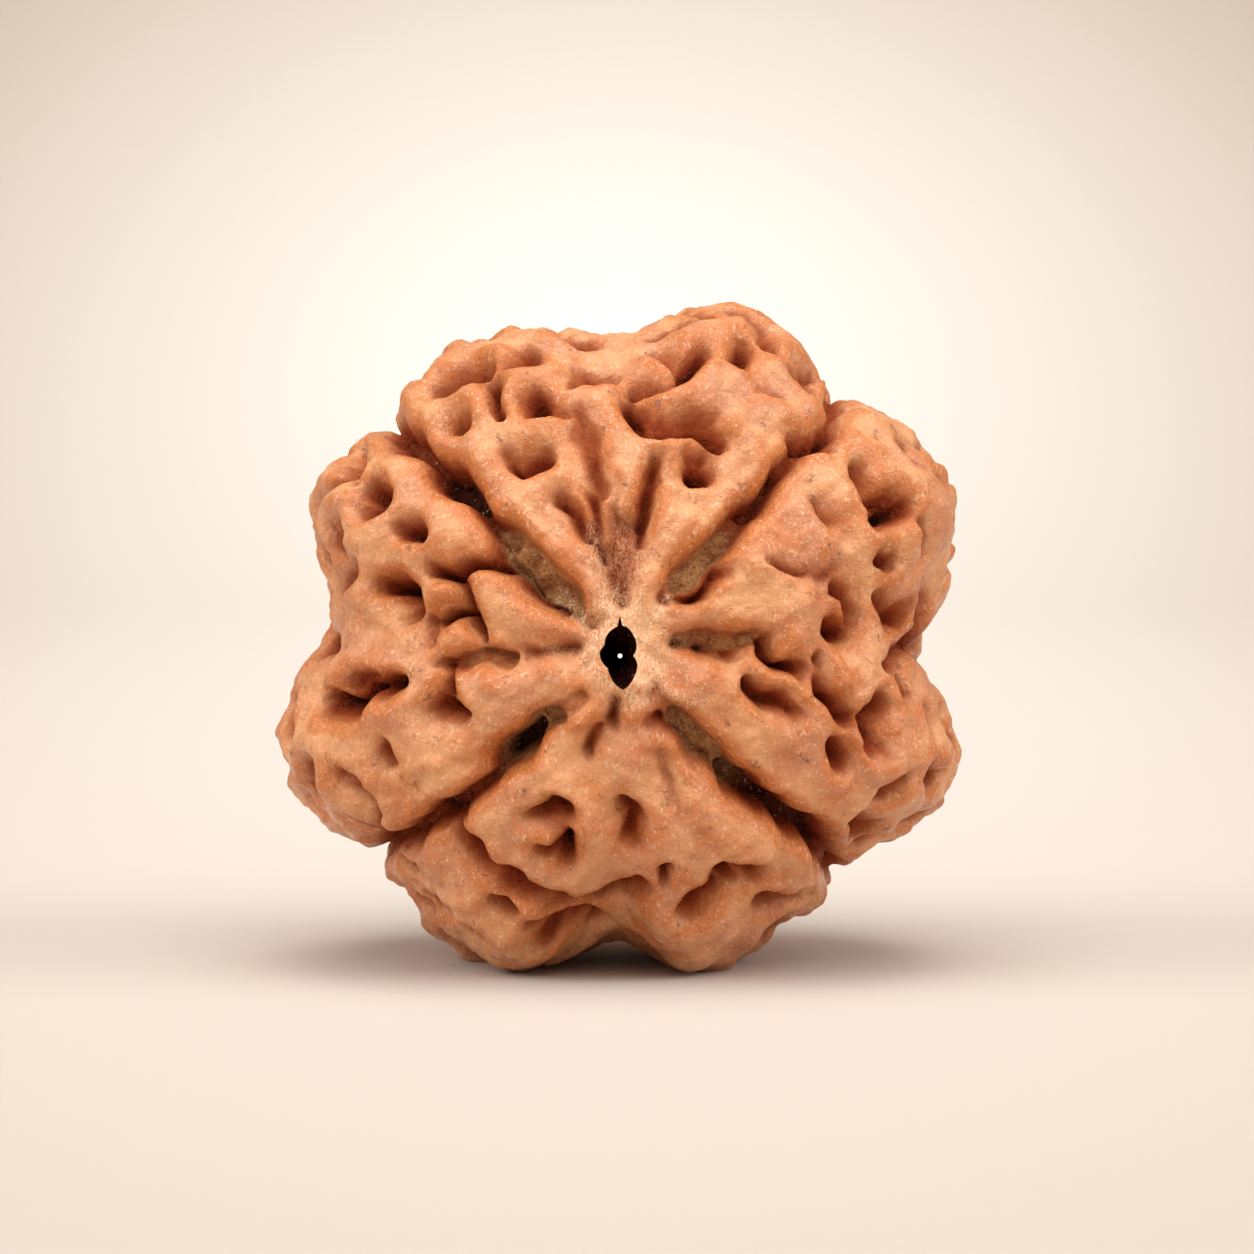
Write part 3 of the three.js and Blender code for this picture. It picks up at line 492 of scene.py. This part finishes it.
# %% [markdown]
# ## Swells, and the whole relief
# The plateaus between the cuts aren't level, and no cut has a drawn edge. Noise would do for both,
# but a sum of slow waves in crossing directions has no grid in it and gives the same numbers in
# any program. The first swells raise and lower the ground, and three more push the points about
# before the cuts are measured, which makes their edges wander.

# %% The relief
SWELLS = [
    {"height": 0.16, "wavelength": 4.4, "waves": 7, "seed": 5},
    {"height": 0.12, "wavelength": 1.8, "waves": 9, "seed": 8},
    {"height": 0.04, "wavelength": 0.75, "waves": 9, "seed": 9},
]
WOBBLE = {"height": 0.1, "wavelength": 1.4, "waves": 6}
WOBBLE_SEEDS = (21, 22, 23)


def swells(height, wavelength, waves, seed):
    draw = random_row(seed)
    ways = []
    for _ in range(waves):
        way = unit(np.array([draw() - 0.5, draw() - 0.5, draw() - 0.5])) * 2 * math.pi / wavelength
        ways.append((way, 2 * math.pi * draw()))
    each = height / math.sqrt(waves)
    return lambda points: each * sum(np.sin(points @ way + phase) for way, phase in ways)


surface_swells = [swells(**row) for row in SWELLS]
wobbles = [swells(**WOBBLE, seed=seed) for seed in WOBBLE_SEEDS]


def relief(points):
    """Height over the shell, and how far cuts and clefts go down there."""
    swell = sum(wave(points) for wave in surface_swells)
    points = points + np.stack([wobble(points) for wobble in wobbles], axis=1)
    cleft_depth = joined(clefts, points, CLEFT_SECTION)
    pit_depth = joined(pits, points, PIT_SECTION)
    height = swell - (cleft_depth ** JOIN_POWER + pit_depth ** JOIN_POWER) ** (1 / JOIN_POWER)
    for knob in knobs:
        near, share = stroke_share(knob, points, knob_section)
        height[near] += (knob[0] - height[near]) * share
        cleft_depth[near] *= 1 - share
    return height, (swell - height).clip(0), cleft_depth


print("at the mouth the surface is", relief(face_point(0, 0)[None])[0].round(2)[0], "mm off the shell")

# %% [markdown]
# ## The stone's mesh
# The surface needs a ball of small faces first. A sphere of rings would crowd its faces at two
# poles, and an icosphere has them of one size all over. Cutting each of its edges in three once
# more gives corners about 0.15 mm apart and stays under the size where a mesh gets thinned.

# %% A ball of small faces
stone_bm = bmesh.new()
bmesh.ops.create_icosphere(stone_bm, subdivisions=6, radius=1)
bmesh.ops.subdivide_edges(stone_bm, edges=stone_bm.edges[:], cuts=2, use_grid_fill=True)
bmesh.ops.triangulate(stone_bm, faces=[face for face in stone_bm.faces if len(face.verts) > 3])
solid_mesh = bpy.data.meshes.new("undrilled stone")
stone_bm.to_mesh(solid_mesh)
stone_bm.free()
print(len(solid_mesh.polygons), "faces")

# %% [markdown]
# ## Raise and wear the surface
# Each corner moves straight out from the middle to the real surface, so the mesh stays closed
# and no face folds over. A stone that has been handled has no sharp crests: each corner that
# stands above the mean height of its surroundings is worn part of the way down to it. That mean
# comes from passing heights on to neighbours a few times. Lumps too fine for the solid come last.

# %% The stone before it is drilled
WEAR = {"rounds": 8, "spared": 0.03, "share": 0.6}
FINE_LUMPS = [
    {"height": 0.035, "wavelength": 0.8, "waves": 9, "seed": 31},
    {"height": 0.02, "wavelength": 0.45, "waves": 9, "seed": 32},
]


def corners_of(mesh):
    flat = np.empty(3 * len(mesh.vertices))
    mesh.vertices.foreach_get("co", flat)
    return flat.reshape(-1, 3)


def neighbourhood_mean(values, mesh, rounds):
    """Each corner's value becomes the mean of its neighbours', a few times over."""
    flat = np.empty(2 * len(mesh.edges), dtype=np.int32)
    mesh.edges.foreach_get("vertices", flat)
    far_ends = flat.reshape(-1, 2)[:, ::-1].ravel()
    for _ in range(rounds):
        values = np.bincount(flat, values[far_ends]) / np.bincount(flat)
    return values


directions = unit(corners_of(solid_mesh))
shell = shell_points(directions)
height, _, _ = relief(shell)
proud = height - neighbourhood_mean(height, solid_mesh, WEAR["rounds"])
height -= WEAR["share"] * (proud - WEAR["spared"]).clip(0)
height += sum(swells(**row)(shell) for row in FINE_LUMPS)
solid_mesh.vertices.foreach_set("co", (shell + directions * height[:, None]).ravel())
solid_mesh.update()
print("the surface lies from", height.min().round(2), "to", height.max().round(2), "mm off the shell")

# %% [markdown]
# ## The thread bore
# The bore is the stone's own hollow core, opened at both ends. Its mouth is a torn, pointed slit,
# so the cutter is a tube with many sides whose first rings have the slit's outline, and the rest
# ease to a round throat. The throat winds a little, because such a bore is never quite straight,
# so only a speck of light comes through.

# %% The bore's cutter
MOUTH = [
    [0, 0.42], [30, 0.62], [55, 0.78], [75, 0.95], [85, 0.97], [90, 1.3], [95, 0.95], [120, 0.8],
    [145, 0.6], [170, 0.66], [200, 0.6], [225, 0.55], [245, 0.72], [262, 0.95], [275, 1.1],
    [290, 0.95], [305, 0.8], [330, 0.65],
]
MOUTH_DEPTH = 2.2
THROAT = 0.42
BACK_MOUTH = 0.55
WINDING = {"radius": 0.34, "turns": 1.3}
BORE_SIDES = 72
BORE_RINGS = 30
BORE_OVERRUN = 1.5


def eased(value, low, high):
    t = min(max((value - low) / (high - low), 0), 1)
    return t * t * (3 - 2 * t)


mouth_bearings, mouth_reaches = zip(*MOUTH)
bore_bm = bmesh.new()
length = 2 * (HALF_DEPTH + BORE_OVERRUN)
bmesh.ops.create_cone(bore_bm, cap_ends=True, segments=BORE_SIDES, radius1=1, radius2=1, depth=length)
long_edges = [edge for edge in bore_bm.edges if abs(edge.verts[0].co.z - edge.verts[1].co.z) > 1]
bmesh.ops.subdivide_edges(bore_bm, edges=long_edges, cuts=BORE_RINGS - 2)
bmesh.ops.rotate(bore_bm, verts=bore_bm.verts, matrix=Matrix.Rotation(math.radians(90), 3, "X"))
for corner in bore_bm.verts:
    bearing = math.degrees(math.atan2(corner.co.z, corner.co.x))
    slit = np.interp(bearing, mouth_bearings, mouth_reaches, period=360)
    inward = eased(corner.co.y, -HALF_DEPTH + 0.5, -HALF_DEPTH + MOUTH_DEPTH)
    tube = THROAT + (BACK_MOUTH - THROAT) * eased(corner.co.y, HALF_DEPTH - 3, HALF_DEPTH)
    size = slit + (tube - slit) * inward
    turn = math.pi * WINDING["turns"] * corner.co.y / HALF_DEPTH
    stray = WINDING["radius"] * inward * (1 - eased(corner.co.y, HALF_DEPTH - 3, HALF_DEPTH))
    corner.co.x = corner.co.x * size + stray * math.cos(turn)
    corner.co.z = corner.co.z * size + stray * math.sin(turn)
bore_mesh = bpy.data.meshes.new("bore")
bore_bm.to_mesh(bore_mesh)
bore_bm.free()
print("the cutter has", len(bore_mesh.polygons), "faces and a throat", 2 * THROAT, "mm wide")

# %% [markdown]
# ## Drill the stone
# A Boolean modifier takes the cutter out of the stone, as a drill and a rasp would. The two helper
# objects are only there for that: the result is read off as a mesh of its own, and they go. Where
# the cutter met the stone some faces are mere slivers, and dissolving those leaves a clean rim.

# %% Drill the stone
WELD = 0.003
solid_stone = bpy.data.objects.new("undrilled stone", solid_mesh)
bore = bpy.data.objects.new("bore", bore_mesh)
for helper in (solid_stone, bore):
    bpy.context.scene.collection.objects.link(helper)
drill = solid_stone.modifiers.new("bore", "BOOLEAN")
drill.operation = "DIFFERENCE"
drill.solver = "MANIFOLD"
drill.object = bore
drilled = solid_stone.evaluated_get(bpy.context.evaluated_depsgraph_get())
stone_mesh = bpy.data.meshes.new_from_object(drilled)
stone_mesh.name = "stone"
for helper in (solid_stone, bore):
    bpy.data.objects.remove(helper)
weld_bm = bmesh.new()
weld_bm.from_mesh(stone_mesh)
bmesh.ops.dissolve_degenerate(weld_bm, dist=WELD, edges=weld_bm.edges[:])
bmesh.ops.triangulate(weld_bm, faces=[face for face in weld_bm.faces if len(face.verts) > 3])
weld_bm.to_mesh(stone_mesh)
weld_bm.free()
print("the drilled stone has", len(stone_mesh.polygons), "faces")

# %% [markdown]
# ## What the finish needs to know
# The stone's colour follows its form: maroon to black down in the pits, which is partly the
# pits' own darker colour and partly painted shade, tan on the flat floors of the clefts, bright
# orange on the crests, and a whitish dust round the mouth. Each of these is measured once at every
# corner and stored as an attribute, which the material reads later. Inside the bore the depth is
# set to its deepest value, so the bore's walls are painted black as shade. A crest is again where a
# corner stands higher than the mean of its surroundings. The clefts' tan floors are only near the
# mouth, so that attribute fades out away from it.

# %% Measure hollows, floors, crests and dust
CREST_ROUNDS = 12
BORE_MARGIN = 0.2
BORE_REACH = 1.6
BORE_SHADE_DEPTH = 3
FLOOR_FADE = (5.0, 7.5)
DUST = [
    [0.9, [0.0, 1.2, 0.9], [0.0, 1.8, 1.0]],
    [0.45, [-0.6, 2.4, 0.6], [-0.8, 3.4, 0.5], [-1.0, 4.4, 0.4]],
    [0.35, [0.4, 2.4, 0.6], [0.7, 3.6, 0.4]],
    [0.3, [0.0, 2.6, 1.0], [0.0, 3.6, 1.2], [0.1, 4.6, 0.9]],
    [1.0, [-0.2, 0.8, 1.3], [0.3, -0.6, 1.3]],
    [0.7, [-0.9, 0.9, 0.3], [-2.3, 2.3, 0.4]],
    [0.6, [0.9, 1.0, 0.4], [1.7, 2.0, 0.3]],
    [0.6, [1.0, 0.1, 0.3], [2.2, 0.6, 0.4]],
    [0.5, [-1.2, 0.1, 0.2], [-2.6, 0.2, 0.3]],
    [0.5, [0.9, -0.8, 0.3], [2.4, -1.6, 0.3]],
    [0.5, [-0.8, -0.5, 0.3], [-1.2, -0.4, 0.3]],
]


corners = corners_of(stone_mesh)
directions = unit(corners)
shell = shell_points(directions)
height, sunk, cleft_depth = relief(shell)
outward = np.linalg.norm(corners, axis=1)
in_bore = outward < np.linalg.norm(shell, axis=1) + height - BORE_MARGIN
in_bore &= np.hypot(corners[:, 0], corners[:, 2]) < BORE_REACH
crest = height - neighbourhood_mean(height, stone_mesh, CREST_ROUNDS)
dust = np.zeros(len(corners))
for row in DUST:
    patch = face_stroke(*row, seen_at=0)
    near, share = stroke_share(patch, shell, knob_section)
    dust[near] = np.maximum(dust[near], patch[0] * share)


def store(name, values):
    stone_mesh.attributes.new(name, "FLOAT", "POINT").data.foreach_set("value", values.astype(np.float32))
    print(name, "from", values.min().round(2), "to", values.max().round(2))


# The bore's walls get the deepest value, which paints them black as shade.
store("sunk", np.where(in_bore, BORE_SHADE_DEPTH, sunk))
off_axis = np.hypot(shell[:, 0], shell[:, 2])
fade = ((FLOOR_FADE[1] - off_axis) / (FLOOR_FADE[1] - FLOOR_FADE[0])).clip(0, 1)
store("cleft", np.where(in_bore | (shell[:, 1] > 0), 0, cleft_depth * fade))
store("crest", np.where(in_bore, 0, crest))
store("dust", np.where(in_bore, 0, dust))

# %% [markdown]
# ## Stand the stone on its lobes
# Until now the stone lay round its own middle, with the bore along Y. It leans back a little on
# its two lowest lobes, and the small worn spots there are flat, so it doesn't rock. Corners that
# would lie under the table are pushed up to it, which is what wear does.

# %% Stand the stone on its lobes
SHARP_ANGLE = 65
place = Matrix.Translation((0, 0, REST_HEIGHT)) @ Matrix.Rotation(-LEAN, 4, "X")
stone_mesh.transform(place)
corners = corners_of(stone_mesh)
flattened = (corners[:, 2] < 0).sum()
print(flattened, "corners are flattened where it rests, by up to", -corners[:, 2].min().round(2), "mm")
corners[:, 2] = corners[:, 2].clip(0)
stone_mesh.vertices.foreach_set("co", (corners * MM).ravel())
stone_mesh.update()
stone_mesh.shade_smooth()
stone_mesh.set_sharp_from_angle(angle=math.radians(SHARP_ANGLE))
stone = bpy.data.objects.new("stone", stone_mesh)
bpy.context.scene.collection.objects.link(stone)
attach(stone, "root")
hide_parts("bead")

# %% [markdown]
# ## The woody finish
# The shell is dry wood with a waxy skin, and one colour would make it look like plastic. The
# material is built from a few kinds of node again and again, so each kind gets a short function:
# reading an attribute, a noise, a range, and one colour laid over another. Every pattern reads
# Object coordinates, so it sits still on the stone.

# %% Helpers for the finish
finish = bpy.data.materials.new("woody shell")
finish.use_nodes = True
tree = finish.node_tree
shader = tree.nodes["Principled BSDF"]
on_stone = tree.nodes.new("ShaderNodeTexCoord").outputs["Object"]


def colour(red, green, blue):
    return tuple((part / 255 / 12.92 if part < 11 else ((part / 255 + 0.055) / 1.055) ** 2.4)
                 for part in (red, green, blue)) + (1,)


def feed(socket, value):
    if isinstance(value, bpy.types.NodeSocket):
        tree.links.new(value, socket)
    else:
        socket.default_value = value


def attribute(name):
    node = tree.nodes.new("ShaderNodeAttribute")
    node.attribute_name = name
    return node.outputs["Fac"]


def noise(size, detail=3, rough=0.6, stretch=(1, 1, 1), warp=0):
    mapping = tree.nodes.new("ShaderNodeMapping")
    feed(mapping.inputs["Vector"], on_stone)
    feed(mapping.inputs["Scale"], stretch)
    node = tree.nodes.new("ShaderNodeTexNoise")
    feed(node.inputs["Vector"], mapping.outputs["Vector"])
    feed(node.inputs["Scale"], 1 / (size * MM))
    feed(node.inputs["Detail"], detail)
    feed(node.inputs["Roughness"], rough)
    feed(node.inputs["Distortion"], warp)
    return node.outputs["Fac"]


def between(value, low, high, first=0, last=1):
    node = tree.nodes.new("ShaderNodeMapRange")
    node.interpolation_type = "SMOOTHSTEP"
    for socket, number in zip(node.inputs, (value, low, high, first, last)):
        feed(socket, number)
    return node.outputs["Result"]


def sum_of(first, second, operation="ADD"):
    node = tree.nodes.new("ShaderNodeMath")
    node.operation = operation
    feed(node.inputs[0], first)
    feed(node.inputs[1], second)
    return node.outputs["Value"]


def product(first, second):
    return sum_of(first, second, "MULTIPLY")


def over(under, share, top):
    node = tree.nodes.new("ShaderNodeMix")
    node.data_type = "RGBA"
    feed(node.inputs["Factor"], share)
    feed(node.inputs[6], under)
    feed(node.inputs[7], top)
    return node.outputs[2]


print("the shader takes", len(shader.inputs), "inputs")

# %% [markdown]
# ## Colours from the ground up
# Colours are laid over each other: peach ground with orange patches, orange crests, pale specks
# that are partly the stone's own and partly painted glints, fine dark pores, then rust, maroon and
# black in the pits, partly the pits' own darker colour and partly painted shade, tan on the cleft
# floors, painted glints in the deepest pits, and dust last. The edge of each layer follows how deep
# the place lies, with some noise added, so that neither stain nor painted shade stops at one level.

# %% Colours from the ground up
PEACH = colour(232, 160, 105)
ROSE = colour(210, 134, 88)
ORANGE = colour(212, 116, 46)
CREST = colour(206, 113, 44)
PALE_SPECK_AND_GLINT = colour(250, 214, 172)
PORE = colour(112, 58, 36)
# Rust, maroon and black go by depth: partly the pits' own darker colour, partly painted shade.
RUST_AND_SHADE = colour(166, 85, 42)
MAROON_AND_SHADE = colour(148, 60, 28)
BLACK_AND_SHADE = colour(64, 24, 12)
TAN = colour(206, 150, 98)
BROWN = colour(158, 98, 58)
DUSTY = colour(244, 206, 162)

sunk_here = attribute("sunk")
cleft_here = attribute("cleft")
crest_here = attribute("crest")
dust_here = attribute("dust")

ground = over(PEACH, between(noise(3.0, detail=2), 0.4, 0.62), ROSE)
ground = over(ground, between(noise(1.5, detail=5, warp=0.4), 0.5, 0.66, 0, 0.65), ORANGE)
ground = over(ground, between(crest_here, 0.03, 0.22, 0, 0.85), CREST)
# Pale specks: partly the stone's own light dots, partly painted glints.
specks_and_glints = noise(0.13, detail=4, rough=0.8, stretch=(1, 1, 0.7))
ground = over(ground, between(specks_and_glints, 0.54, 0.67, 0, 0.65), PALE_SPECK_AND_GLINT)
pores = noise(0.5, detail=5, rough=0.75, warp=0.4)
ground = over(ground, between(pores, 0.6, 0.68, 0, 0.7), PORE)

# Depth with noise; the rust and maroon laid by it are partly painted shade.
edge = sum_of(sunk_here, product(sum_of(noise(0.6, detail=5, rough=0.7), -0.5), 0.8))
ground = over(ground, between(edge, 0.12, 0.55, 0, 0.8), RUST_AND_SHADE)
ground = over(ground, between(edge, 0.42, 0.9, 0, 0.95), MAROON_AND_SHADE)

floor_tone = over(TAN, between(noise(0.9, detail=4), 0.4, 0.65), BROWN)
floor_tone = over(floor_tone, between(noise(0.2, detail=3, rough=0.7), 0.6, 0.68, 0, 0.7), BLACK_AND_SHADE)
# Pale specks on the cleft floors, partly painted glints.
floor_tone = over(floor_tone, between(noise(0.18, detail=3, rough=0.7, warp=0.5), 0.56, 0.72, 0, 0.5), PALE_SPECK_AND_GLINT)
cleft_edge = sum_of(cleft_here, product(sum_of(noise(0.5, detail=4), -0.5), 0.6))
ground = over(ground, between(cleft_edge, 0.45, 1.05, 0, 0.9), floor_tone)
# Black in the deepest places: partly dark crumbs, partly painted shade.
ground = over(ground, between(sum_of(edge, product(cleft_here, -0.25)), 1.0, 1.9), BLACK_AND_SHADE)
# Painted glints: pale specks on the black of the deepest pits stand in for highlights.
painted_glint = product(between(edge, 1.0, 1.4), between(noise(0.16, detail=3, rough=0.7), 0.6, 0.7, 0, 0.5))
ground = over(ground, painted_glint, PALE_SPECK_AND_GLINT)

fibres = noise(0.14, detail=3, rough=0.7, stretch=(2.2, 0.6, 0.7), warp=1.4)
dusting = product(between(dust_here, 0.0, 0.7), between(fibres, 0.44, 0.62))
ground = over(ground, dusting, DUSTY)
feed(shader.inputs["Base Color"], ground)
print("the colours take", len(tree.nodes), "nodes")

# %% [markdown]
# ## Gloss and grain
# Handling has polished the crests, so they shine and the pits are dull. Light goes a little way
# into the wax before it comes out again, which softens the shadows. Grain under a fifth of a
# millimetre is left to bump, because a mesh that fine would be too heavy, and so are the crumbs
# of dried pulp in the pits.

# %% Gloss and grain
shine = sum_of(noise(0.35, detail=4), between(crest_here, -0.05, 0.25, 0, -0.14))
skin_roughness = between(shine, 0.25, 0.75, 0.26, 0.52)
feed(shader.inputs["Roughness"], sum_of(skin_roughness, between(sunk_here, 0.5, 1.2, 0, 0.3)))
feed(shader.inputs["Specular IOR Level"], between(sunk_here, 0.15, 0.7, 0.5, 0.08))
feed(shader.inputs["Subsurface Weight"], 0.06)
feed(shader.inputs["Subsurface Radius"], (1.0, 0.35, 0.15))
feed(shader.inputs["Subsurface Scale"], 0.4 * MM)
feed(shader.inputs["Coat Weight"], between(sunk_here, 0.1, 0.5, 0.24, 0))
feed(shader.inputs["Coat Roughness"], 0.26)


def raised(strength, depth, height_socket, under=None):
    node = tree.nodes.new("ShaderNodeBump")
    feed(node.inputs["Strength"], strength)
    feed(node.inputs["Distance"], depth * MM)
    feed(node.inputs["Height"], height_socket)
    if under:
        feed(node.inputs["Normal"], under)
    return node.outputs["Normal"]


grain = raised(1.0, 0.18, noise(0.6, detail=5, rough=0.65, warp=0.3))
grain = raised(1.0, 0.09, noise(0.18, detail=4, rough=0.75), grain)
crumbs = product(noise(0.32, detail=3, rough=0.7), between(sunk_here, 0.5, 1.1))
grain = raised(1.0, 0.3, crumbs, grain)
feed(shader.inputs["Normal"], grain)
stone_mesh.materials.clear()
stone_mesh.materials.append(finish)
print("the whole finish takes", len(tree.nodes), "nodes")

# %% [markdown]
# ## The paper sweep
# The stone stands on pale paper that curves up behind it without an edge. A strip of faces bent
# along a quarter circle would do, and here one edge is extruded along such a path.

# %% The paper
PAPER_HALF = 0.9
PAPER_FRONT = -0.8
BEND_START = 0.16
BEND_RADIUS = 0.22
BEND_STEPS = 24
PAPER_TOP = 0.9
paper_bm = bmesh.new()
path = [(PAPER_FRONT, 0), (BEND_START, 0)]
for step in range(1, BEND_STEPS + 1):
    turn = math.radians(90 * step / BEND_STEPS)
    path.append((BEND_START + BEND_RADIUS * math.sin(turn), BEND_RADIUS * (1 - math.cos(turn))))
path.append((BEND_START + BEND_RADIUS, PAPER_TOP))
row = [paper_bm.verts.new((side * PAPER_HALF, path[0][0], path[0][1])) for side in (-1, 1)]
edge_now = paper_bm.edges.new(row)
for (y, z), (next_y, next_z) in zip(path, path[1:]):
    made = bmesh.ops.extrude_edge_only(paper_bm, edges=[edge_now])["geom"]
    new_verts = [item for item in made if isinstance(item, bmesh.types.BMVert)]
    bmesh.ops.translate(paper_bm, verts=new_verts, vec=(0, next_y - y, next_z - z))
    edge_now = next(item for item in made if isinstance(item, bmesh.types.BMEdge))
bmesh.ops.recalc_face_normals(paper_bm, faces=paper_bm.faces)
paper_mesh = bpy.data.meshes.new("paper")
paper_bm.to_mesh(paper_mesh)
paper_bm.free()
paper_mesh.shade_smooth()
paper = bpy.data.objects.new("paper", paper_mesh)
bpy.context.scene.collection.objects.link(paper)
print("the paper has", len(paper_mesh.polygons), "faces")

# %% [markdown]
# ## The paper's painted light
# In the photo the paper is brightest behind the stone and falls off to the corners. A lamp with a
# narrow beam could do it, but a soft round gradient in the paper itself doesn't touch the light
# on the stone.

# %% The paper's painted light
PAINTED_PAPER_LIGHT = {"centre": (0, 0.22, 0.012), "reach": (0.075, 0.42, 0.055)}
paper_finish = bpy.data.materials.new("cream paper")
paper_finish.use_nodes = True
paper_shader = paper_finish.node_tree.nodes["Principled BSDF"]
paper_place = paper_finish.node_tree.nodes.new("ShaderNodeTexCoord")
paper_middle = paper_finish.node_tree.nodes.new("ShaderNodeMapping")
paper_middle.vector_type = "TEXTURE"
paper_middle.inputs["Location"].default_value = PAINTED_PAPER_LIGHT["centre"]
paper_middle.inputs["Scale"].default_value = PAINTED_PAPER_LIGHT["reach"]
painted_light_fade = paper_finish.node_tree.nodes.new("ShaderNodeTexGradient")
painted_light_fade.gradient_type = "SPHERICAL"
# Dark corners to a bright middle: a painted pool of light on the paper.
painted_light_tones = paper_finish.node_tree.nodes.new("ShaderNodeValToRGB")
painted_light_tones.color_ramp.elements[0].color = colour(165, 149, 132)
painted_light_tones.color_ramp.elements[1].color = colour(233, 227, 221)
paper_finish.node_tree.links.new(paper_place.outputs["Object"], paper_middle.inputs["Vector"])
paper_finish.node_tree.links.new(paper_middle.outputs["Vector"], painted_light_fade.inputs["Vector"])
paper_finish.node_tree.links.new(painted_light_fade.outputs["Fac"], painted_light_tones.inputs["Fac"])
paper_finish.node_tree.links.new(painted_light_tones.outputs["Color"], paper_shader.inputs["Base Color"])
paper_shader.inputs["Roughness"].default_value = 0.9
paper_shader.inputs["Specular IOR Level"].default_value = 0.2
paper_mesh.materials.append(paper_finish)
print("the paper's gradient is centred", PAINTED_PAPER_LIGHT["centre"], "m from the stone's foot")

# %% [markdown]
# ## The camera
# The photo looks along the bore. The camera stands on that line, as far off as a close-up lens
# would, and its focal length makes the frame as wide as the photo's at that distance.

# %% The camera
DISTANCE = 0.210
FRAME_WIDTH = 0.0418
SENSOR_WIDTH = 36
OFF_BORE = (7 / 30, 29 / 30)  # millimetres right of the bore and above it to the photo's middle
middle = Vector((0, 0, REST_HEIGHT * MM))
bore_way = Vector((0, math.cos(LEAN), -math.sin(LEAN)))
camera_data = bpy.data.cameras.new("camera")
camera_data.sensor_width = SENSOR_WIDTH
camera_data.lens = SENSOR_WIDTH * DISTANCE / FRAME_WIDTH
camera = bpy.data.objects.new("camera", camera_data)
camera.location = middle - bore_way * DISTANCE
target = middle + Vector((OFF_BORE[0] * MM, 0, OFF_BORE[1] * MM))
camera.rotation_euler = (target - camera.location).to_track_quat("-Z", "Y").to_euler()
bpy.context.scene.collection.objects.link(camera)
bpy.context.scene.camera = camera
print("a lens of", round(camera_data.lens), "mm at", DISTANCE, "m")

# %% [markdown]
# ## The light
# The photo has soft light from above and in front, with a bright surround that fills every
# shadow. Small lamps would draw hard edges under every ridge. Instead one large square light
# hangs over the stone, two stand at its sides, a fourth lights the paper's bend, and the world's
# even cream does the filling.

# %% The light
def softbox(name, place, aim, size, power):
    light = bpy.data.lights.new(name, "AREA")
    light.shape = "SQUARE"
    light.size = size
    light.energy = power
    holder = bpy.data.objects.new(name, light)
    holder.location = place
    holder.rotation_euler = (Vector(aim) - Vector(place)).to_track_quat("-Z", "Y").to_euler()
    bpy.context.scene.collection.objects.link(holder)


softbox("top light", (0.0, -0.2, 0.4), middle, 0.42, 1.4)
softbox("left light", (-0.36, -0.12, 0.26), middle, 0.3, 1.0)
softbox("right light", (0.36, -0.12, 0.26), middle, 0.3, 1.0)
softbox("paper light", (0.0, 0.1, 0.5), (0.0, 0.3, 0.03), 0.3, 1.15)
world = bpy.data.worlds.new("studio")
world.use_nodes = True
background = world.node_tree.nodes["Background"]
background.inputs["Color"].default_value = (1, 0.96, 0.92, 1)
background.inputs["Strength"].default_value = 0.47
bpy.context.scene.world = world
bpy.context.scene.view_settings.view_transform = "Standard"
print(len(bpy.data.lights), "lights")
